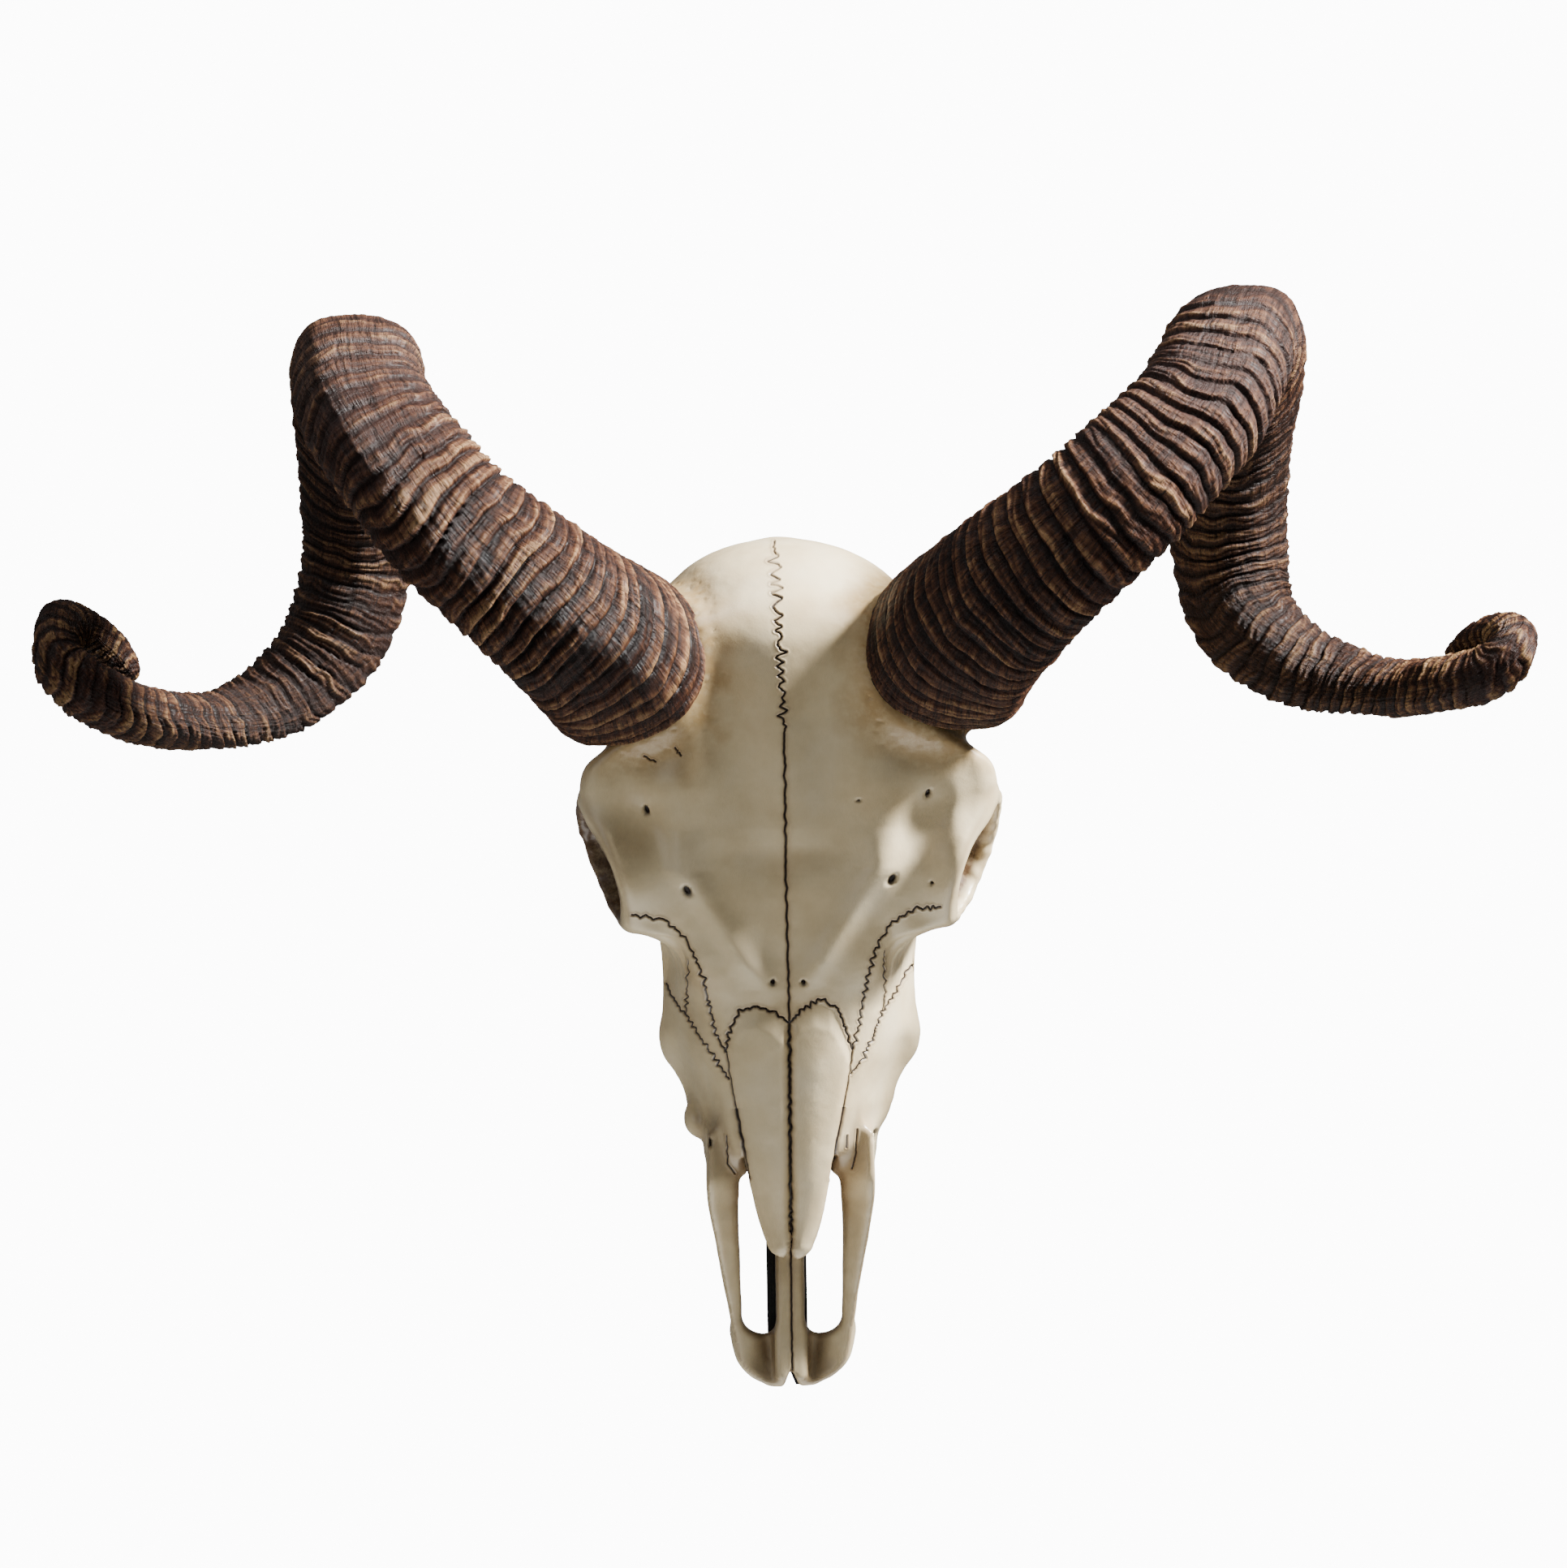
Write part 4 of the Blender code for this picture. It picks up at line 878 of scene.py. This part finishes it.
# Painted shade: the inside of each eye socket is painted dark brown, in patches.
patchy = plus(tree_b, times(tree_b, speck, 1.2), 0.35, True)
eye_socket_shade_tone = times(tree_b, attribute(tree_b, "socket")["Fac"], patchy, True)
colour = mixed(tree_b, times(tree_b, eye_socket_shade_tone, 0.96), colour, (0.095, 0.046, 0.018))
colour = mixed(tree_b, times(tree_b, attribute(tree_b, "halo")["Fac"], 0.5), colour, (0.23, 0.125, 0.05))
colour = mixed(tree_b, attribute(tree_b, "suture")["Fac"], colour, (0.022, 0.012, 0.007))
colour = mixed(tree_b, attribute(tree_b, "pore")["Fac"], colour, (0.018, 0.01, 0.006))
tree_b.links.new(colour, bone_shader.inputs["Base Color"])
tree_b.links.new(plus(tree_b, times(tree_b, tone, 0.18), 0.3), bone_shader.inputs["Roughness"])
bone_shader.inputs["Coat Weight"].default_value = 0.28
bone_shader.inputs["Coat Roughness"].default_value = 0.22
grit = plus(tree_b, speck, times(tree_b, dust, 0.35))
rough_b = node(tree_b, "Bump", {"Height": grit}, Strength=0.22, Distance=0.0004)
tree_b.links.new(rough_b.outputs[0], bone_shader.inputs["Normal"])
skull_mesh.materials.append(bone_paint)
skull = placed("skull_casting", skull_mesh)
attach(skull, "root")
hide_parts("cranium", "maxilla", "nasal_left", "nasal_right", "premaxilla_left", "premaxilla_right")


# Horns: each is one casting from base to tip, with the growth rings of a grown ram, bowed and uneven, and the
# fibres of the horn along it. Dark paint lies in the grooves and a lighter one is dry-brushed over the rings.

# Middle of each horn from the skull to the tip, as x, z, d, half width and half thickness
LEFT_HORN = [
    (-0.0505, 0.051, 0.087, 0.0305, 0.032), (-0.062, 0.061, 0.1075, 0.0296, 0.0305),
    (-0.0807, 0.0749, 0.125, 0.0268, 0.0262), (-0.1064, 0.0958, 0.138, 0.0248, 0.0228),
    (-0.1242, 0.1164, 0.137, 0.0238, 0.0218), (-0.1392, 0.137, 0.123, 0.023, 0.0215),
    (-0.144, 0.154, 0.097, 0.022, 0.021), (-0.1462, 0.1455, 0.069, 0.022, 0.02),
    (-0.147, 0.1198, 0.046, 0.0206, 0.0185), (-0.149, 0.0915, 0.035, 0.0195, 0.017),
    (-0.1562, 0.0668, 0.036, 0.0188, 0.0163), (-0.17, 0.0491, 0.042, 0.0166, 0.0138),
    (-0.1865, 0.0387, 0.052, 0.0153, 0.0099), (-0.204, 0.0345, 0.068, 0.0143, 0.0095),
    (-0.2215, 0.037, 0.086, 0.014, 0.0099), (-0.2385, 0.0458, 0.098, 0.0135, 0.0102),
    (-0.2492, 0.0575, 0.099, 0.0122, 0.0092), (-0.2455, 0.069, 0.087, 0.01, 0.0078),
    (-0.2345, 0.0625, 0.073, 0.0086, 0.007), (-0.225, 0.0502, 0.064, 0.0058, 0.0045),
]
RIGHT_HORN = [
    (0.0555, 0.052, 0.087, 0.0303, 0.0305), (0.0648, 0.0632, 0.1075, 0.0292, 0.0298),
    (0.0814, 0.0772, 0.126, 0.0268, 0.0262), (0.1042, 0.0946, 0.139, 0.025, 0.0228),
    (0.1248, 0.1127, 0.139, 0.0244, 0.0218), (0.1455, 0.1337, 0.126, 0.0236, 0.0215),
    (0.16, 0.158, 0.098, 0.0222, 0.0216), (0.1625, 0.1475, 0.069, 0.022, 0.02),
    (0.1605, 0.1202, 0.046, 0.0208, 0.0188), (0.1602, 0.0905, 0.035, 0.0203, 0.0175),
    (0.1655, 0.0665, 0.036, 0.0188, 0.0158), (0.1822, 0.05, 0.043, 0.0164, 0.013),
    (0.201, 0.0425, 0.053, 0.015, 0.01), (0.2172, 0.0391, 0.068, 0.014, 0.0093),
    (0.2324, 0.0403, 0.086, 0.0138, 0.0098), (0.2448, 0.0435, 0.097, 0.013, 0.01),
    (0.2528, 0.051, 0.098, 0.0116, 0.0092), (0.251, 0.057, 0.087, 0.0094, 0.0076),
    (0.2427, 0.0545, 0.074, 0.0084, 0.0068), (0.2342, 0.0472, 0.065, 0.0056, 0.0045),
]
# The horn's rings are turned towards a line that it curls round, which ends before the tips
HUB_Z = 0.084
HUB_D = 0.083
HUB_REACH = 0.215


def curve_point(stations, t):
    """A point on the smooth curve through the stations; t runs from 0 to the number of spans."""
    i = min(int(t), len(stations) - 2)
    u = t - i
    s = np.array(stations)
    a, b, c = s[max(i - 1, 0)], s[i], s[i + 1]
    e = s[min(i + 2, len(s) - 1)]
    return 0.5 * (2 * b + (c - a) * u + (2 * a - 5 * b + 4 * c - e) * u**2 + (3 * b - a - 3 * c + e) * u**3)


def horn_track(stations, count):
    """Evenly spaced samples of the curve, with the share of the length each one lies at."""
    t = np.linspace(0, len(stations) - 1, 1200)
    fine = np.array([curve_point(stations, v) for v in t])
    length = np.concatenate([[0], np.cumsum(np.linalg.norm(np.diff(fine[:, :3], axis=0), axis=1))])
    share = np.linspace(0, 1, count)
    return np.stack([np.interp(share * length[-1], length, fine[:, i]) for i in range(5)], axis=1), share


def horn_skin(stations, around, count, seed):
    """Points of the skin, with their height in the ring, place on the unrolled horn and share of the length."""
    track, share = horn_track(stations, count)
    middle = track[:, :3]
    run = np.gradient(middle, axis=0)
    length = np.linalg.norm(np.diff(middle, axis=0), axis=1).sum()
    run /= np.linalg.norm(run, axis=1)[:, None]
    level = middle[:, 1] * 0
    hub = np.stack([np.clip(middle[:, 0], -HUB_REACH, HUB_REACH), level + HUB_Z, level + HUB_D], axis=1)
    face = middle - hub
    face -= (face * run).sum(axis=1)[:, None] * run
    face /= np.linalg.norm(face, axis=1)[:, None]
    wide = np.cross(run, face)
    if stations[0][0] < 0:
        wide = -wide
    turn = np.arange(around) * 2 * math.pi / around
    s, a = np.meshgrid(share, turn, indexing="ij")

    def skin_noise(turns, pitch, number):
        """Noise with so many cells round the horn, and one for each pitch along it."""
        spots = np.stack([np.cos(a) * turns, np.sin(a) * turns, s * length / pitch], axis=-1)
        return lattice_noise(spots.reshape(-1, 3), seed + number).reshape(s.shape)

    def ring_noise(rings, step, turns, slice_at, number):
        """Noise that jumps from ring to ring and drifts slowly round each one."""
        spots = np.stack([rings.ravel() * step, a.ravel() * turns, s.ravel() * 0 + slice_at], axis=1)
        return lattice_noise(spots, seed + number).reshape(s.shape)

    # Rings: spaced as along the real horn, bowed, and pushed about unevenly. Each rises steeply to its lip
    # and falls off slowly behind it.
    ring_spacing = [(0.0, 0.005), (0.12, 0.0056), (0.35, 0.0066), (0.5, 0.007), (0.7, 0.0058), (1.0, 0.0042)]
    drift = skin_noise(0.9, 0.034, 0)
    ragged = skin_noise(3.2, 0.01, 1)
    passed = np.cumsum(length / count / along(share, ring_spacing))
    phase = passed[:, None] + 0.5 * np.cos(a - 1.3) + 0.62 * drift + 0.15 * ragged
    ring = np.floor(phase)
    place = phase - ring
    own = ring_noise(ring, 1.37, 0.7, 0.5, 2)
    lip = np.clip(place / 0.16, 0, 1)
    fall = np.clip((1 - place) / 0.74, 0, 1)
    ridge = lip * lip * (3 - 2 * lip) * (fall * (2 - fall))

    # Finer wrinkles between the rings
    finer = phase * 2.3 + 1.3 * drift[::-1] + 0.35 * ragged
    own_finer = ring_noise(np.floor(finer), 1.9, 1.4, 2.5, 5)
    step = finer - np.floor(finer)
    second = np.clip(step / 0.3, 0, 1) * np.clip((1 - step) / 0.5, 0, 1)
    second = 1 - second * np.clip(0.75 + 0.8 * own_finer, 0, 1.3)

    # How far the skin stands off the horn's form: the rings' depth, the wrinkles, the fibres and slow lumps
    ring_depth = [
        (0.0, 0.0017), (0.1, 0.002), (0.28, 0.0016), (0.42, 0.001), (0.55, 0.0013), (0.75, 0.0017),
        (1.0, 0.0007),
    ]
    depth = along(share, ring_depth)[:, None]
    depth = depth * np.clip(0.85 + 0.75 * own, 0.2, 1.2) * (1 - 0.25 * np.cos(a + 1.9))
    lift = 0.001 - 0.0009 * np.clip((s - 0.8) / 0.1, 0, 1)
    lift = lift - depth * (1 - ridge) - 0.00075 * second * (0.35 + 0.65 * ridge)
    lift = lift + 0.00018 * skin_noise(19, 0.0045, 3)
    lift = lift + 0.0005 * skin_noise(2.3, 0.016, 4) - 0.0003

    # The section is slightly three-cornered. It is drawn in at the base and rounds off to the tip.
    swell = 1 + 0.045 * np.cos(3 * turn - 1.57) + 0.05 * np.exp(-(((turn - 0.9) / 0.35) ** 2))
    round_off = np.sqrt(np.clip(1 - ((share - 0.985) / 0.0151) ** 2 * (share > 0.985), 0.0004, 1))[:, None]
    base_lip = 1 - 0.07 * np.exp(-((share / 0.007) ** 2))[:, None]
    form = swell * round_off * base_lip
    u = (track[:, 3:4] + lift) * np.cos(turn) * form
    v = (track[:, 4:5] + lift) * np.sin(turn) * form
    points = middle[:, None] + u[..., None] * wide[:, None] + v[..., None] * face[:, None]
    radius = 0.5 * (track[:, 3:4] + track[:, 4:5])
    lie = np.stack([np.cos(a) * radius, np.sin(a) * radius, s * length], axis=-1)
    height = ridge * (0.9 + 0.4 * own) - 0.42 * second * ridge
    return points, height, lie, s


horn_paint, tree_h, horn_shader = empty_material("horn_resin")
lie = attribute(tree_h, "lie")["Vector"]
stretch = node(tree_h, "Mapping", {"Vector": lie}, vector_type="POINT")
stretch.inputs["Scale"].default_value = (1.0, 1.0, 0.16)
fibres = node(tree_h, "TexNoise", {"Vector": stretch.outputs[0]}, Scale=900.0, Detail=5.0, Roughness=0.7)
strands = node(tree_h, "TexNoise", {"Vector": stretch.outputs[0]}, Scale=330.0, Detail=4.0, Roughness=0.6)
cross = node(tree_h, "Mapping", {"Vector": lie}, vector_type="POINT")
cross.inputs["Scale"].default_value = (0.3, 0.3, 1.6)
bands = node(tree_h, "TexNoise", {"Vector": cross.outputs[0]}, Scale=420.0, Detail=4.0, Roughness=0.65)
tone, _ = use_mottle(tree_h, lie, 45.0, 700.0)
height = attribute(tree_h, "ridge")["Fac"]
share_out = attribute(tree_h, "share")["Fac"]
lively = height
for source, share in ((strands.outputs[0], 1.15), (bands.outputs[0], 0.7), (tone, 0.7)):
    swing = sums(tree_h, "SUBTRACT", source, 0.5)
    lively = plus(tree_h, lively, times(tree_h, swing, share))
colour = ramp(
    tree_h,
    lively,
    [
        (0.05, (0.006, 0.003, 0.0022)),
        (0.3, (0.021, 0.008, 0.0048)),
        (0.52, (0.06, 0.0235, 0.012)),
        (0.77, (0.145, 0.065, 0.03)),
        (0.98, (0.32, 0.18, 0.085)),
    ],
)
grey = ramp(tree_h, share_out, [(0.2, (0, 0, 0)), (0.33, (1, 1, 1)), (0.44, (0, 0, 0))])
colour = mixed(tree_h, times(tree_h, grey, 0.4), colour, (0.085, 0.05, 0.042))
ruddy, _ = use_mottle(tree_h, lie, 26.0, 90.0)
ruddy = ramp(tree_h, ruddy, [(0.42, (0, 0, 0)), (0.62, (1, 1, 1))])
colour = mixed(tree_h, times(tree_h, ruddy, 0.28), colour, (0.048, 0.014, 0.007))
late = ramp(tree_h, share_out, [(0.76, (0, 0, 0)), (0.92, (1, 1, 1))])
tips = times(tree_h, late, ramp(tree_h, lively, [(0.55, (0, 0, 0)), (0.95, (1, 1, 1))]))
colour = mixed(tree_h, times(tree_h, tips, 0.75), colour, (0.25, 0.15, 0.062))
streak = ramp(tree_h, fibres.outputs[0], [(0.4, (1, 1, 1)), (0.5, (0, 0, 0))])
# The rear turns of the horn, between the crown and the tip, are darkened: partly painted shade where that turn
# lies behind the first, partly darker paint.
rear_shade_and_paint = ramp(tree_h, share_out, [(0.42, (0, 0, 0)), (0.5, (1, 1, 1)), (0.72, (1, 1, 1)), (0.84, (0, 0, 0))])
colour = mixed(tree_h, times(tree_h, rear_shade_and_paint, 0.5), colour, (0.012, 0.0065, 0.0045))
colour = mixed(tree_h, times(tree_h, streak, 0.75), colour, (0.01, 0.005, 0.0038))
gleam = ramp(tree_h, fibres.outputs[0], [(0.58, (0, 0, 0)), (0.72, (1, 1, 1))])
gleam = times(tree_h, gleam, times(tree_h, height, 0.55, True))
colour = mixed(tree_h, gleam, colour, (0.23, 0.13, 0.068))
tree_h.links.new(colour, horn_shader.inputs["Base Color"])
sheen_h = plus(tree_h, times(tree_h, strands.outputs[0], 0.3), 0.28)
tree_h.links.new(sheen_h, horn_shader.inputs["Roughness"])
horn_shader.inputs["Coat Weight"].default_value = 0.03
horn_shader.inputs["Specular IOR Level"].default_value = 0.15
horn_shader.inputs["Coat Roughness"].default_value = 0.3
relief_h = plus(tree_h, fibres.outputs[0], times(tree_h, strands.outputs[0], 1.3))
relief_h = plus(tree_h, relief_h, times(tree_h, bands.outputs[0], 0.9))
bump_h = node(tree_h, "Bump", {"Height": relief_h}, Strength=0.9, Distance=0.0014)
tree_h.links.new(bump_h.outputs[0], horn_shader.inputs["Normal"])

# Vertices round each ring of the skin, and rings from base to tip
around, count = 192, 860
END_HEIGHT = 0.3
for side, stations, seed in (("left", LEFT_HORN, 21), ("right", RIGHT_HORN, 61)):
    points, height, lie, share = horn_skin(stations, around, count, seed)
    flat = points.reshape(-1, 3)
    ends = np.stack([points[0].mean(axis=0), points[-1].mean(axis=0)])
    flat = np.concatenate([flat, ends])
    row = np.arange(count - 1)[:, None] * around
    here, after = np.arange(around), (np.arange(around) + 1) % around
    quads = np.stack([row + here, row + after, row + around + after, row + around + here], axis=-1).reshape(
        -1, 4
    )
    first, last = count * around, count * around + 1
    top = (count - 1) * around
    caps = [(first, int(b), int(a)) for a, b in zip(here, after)]
    caps += [(last, int(top + a), int(top + b)) for a, b in zip(here, after)]
    mesh = new_mesh("horn_" + side, flat, [tuple(f) for f in quads] + caps)
    pad = [END_HEIGHT, END_HEIGHT]
    set_attribute(mesh, "ridge", np.concatenate([height.ravel(), pad]))
    set_attribute(mesh, "share", np.concatenate([share.ravel(), [0.0, 1.0]]))
    set_attribute(mesh, "lie", np.concatenate([lie.reshape(-1, 3), [[0, 0, 0], lie[-1, 0]]]), "FLOAT_VECTOR")
    mesh.polygons.foreach_set("use_smooth", np.ones(len(mesh.polygons), dtype=bool))
    mesh.materials.append(horn_paint)
    horn = placed("horn_" + side, mesh)
    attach(horn, "root")
    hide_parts(*["horn_" + side + "_" + word for word in ("root", "crown", "shank", "tip")])

# Backing board: black-painted board glued into the open back of the casting. The solid is right as it is.
board_paint, tree_k, board_shader = empty_material("black_paint")
place = node(tree_k, "TexCoord").outputs["Object"]
tone, speck = use_mottle(tree_k, place, 30.0, 500.0)
black = ramp(tree_k, tone, [(0.3, (0.008, 0.008, 0.009)), (0.7, (0.02, 0.02, 0.021))])
tree_k.links.new(black, board_shader.inputs["Base Color"])
board_shader.inputs["Roughness"].default_value = 0.58
rough_k = node(tree_k, "Bump", {"Height": speck}, Strength=0.25, Distance=0.0005)
tree_k.links.new(rough_k.outputs[0], board_shader.inputs["Normal"])
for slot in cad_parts["backing_board"].material_slots:
    slot.material = board_paint
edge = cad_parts["backing_board"].modifiers.new("edge", "BEVEL")
edge.width = 0.0006
edge.segments = 2

# Hanger: zinc-plated sheet steel with a keyhole, let into the board.
steel, tree_s, steel_shader = empty_material("zinc_steel")
place = node(tree_s, "TexCoord").outputs["Object"]
brushed = node(tree_s, "Mapping", {"Vector": place})
brushed.inputs["Scale"].default_value = (1.0, 1.0, 12.0)
tone, speck = use_mottle(tree_s, brushed.outputs[0], 40.0, 300.0)
zinc = ramp(tree_s, tone, [(0.3, (0.42, 0.42, 0.4)), (0.7, (0.6, 0.6, 0.58))])
tree_s.links.new(zinc, steel_shader.inputs["Base Color"])
sheen_s = plus(tree_s, times(tree_s, speck, 0.25), 0.25)
tree_s.links.new(sheen_s, steel_shader.inputs["Roughness"])
steel_shader.inputs["Metallic"].default_value = 1.0
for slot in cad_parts["hanger_plate"].material_slots:
    slot.material = steel
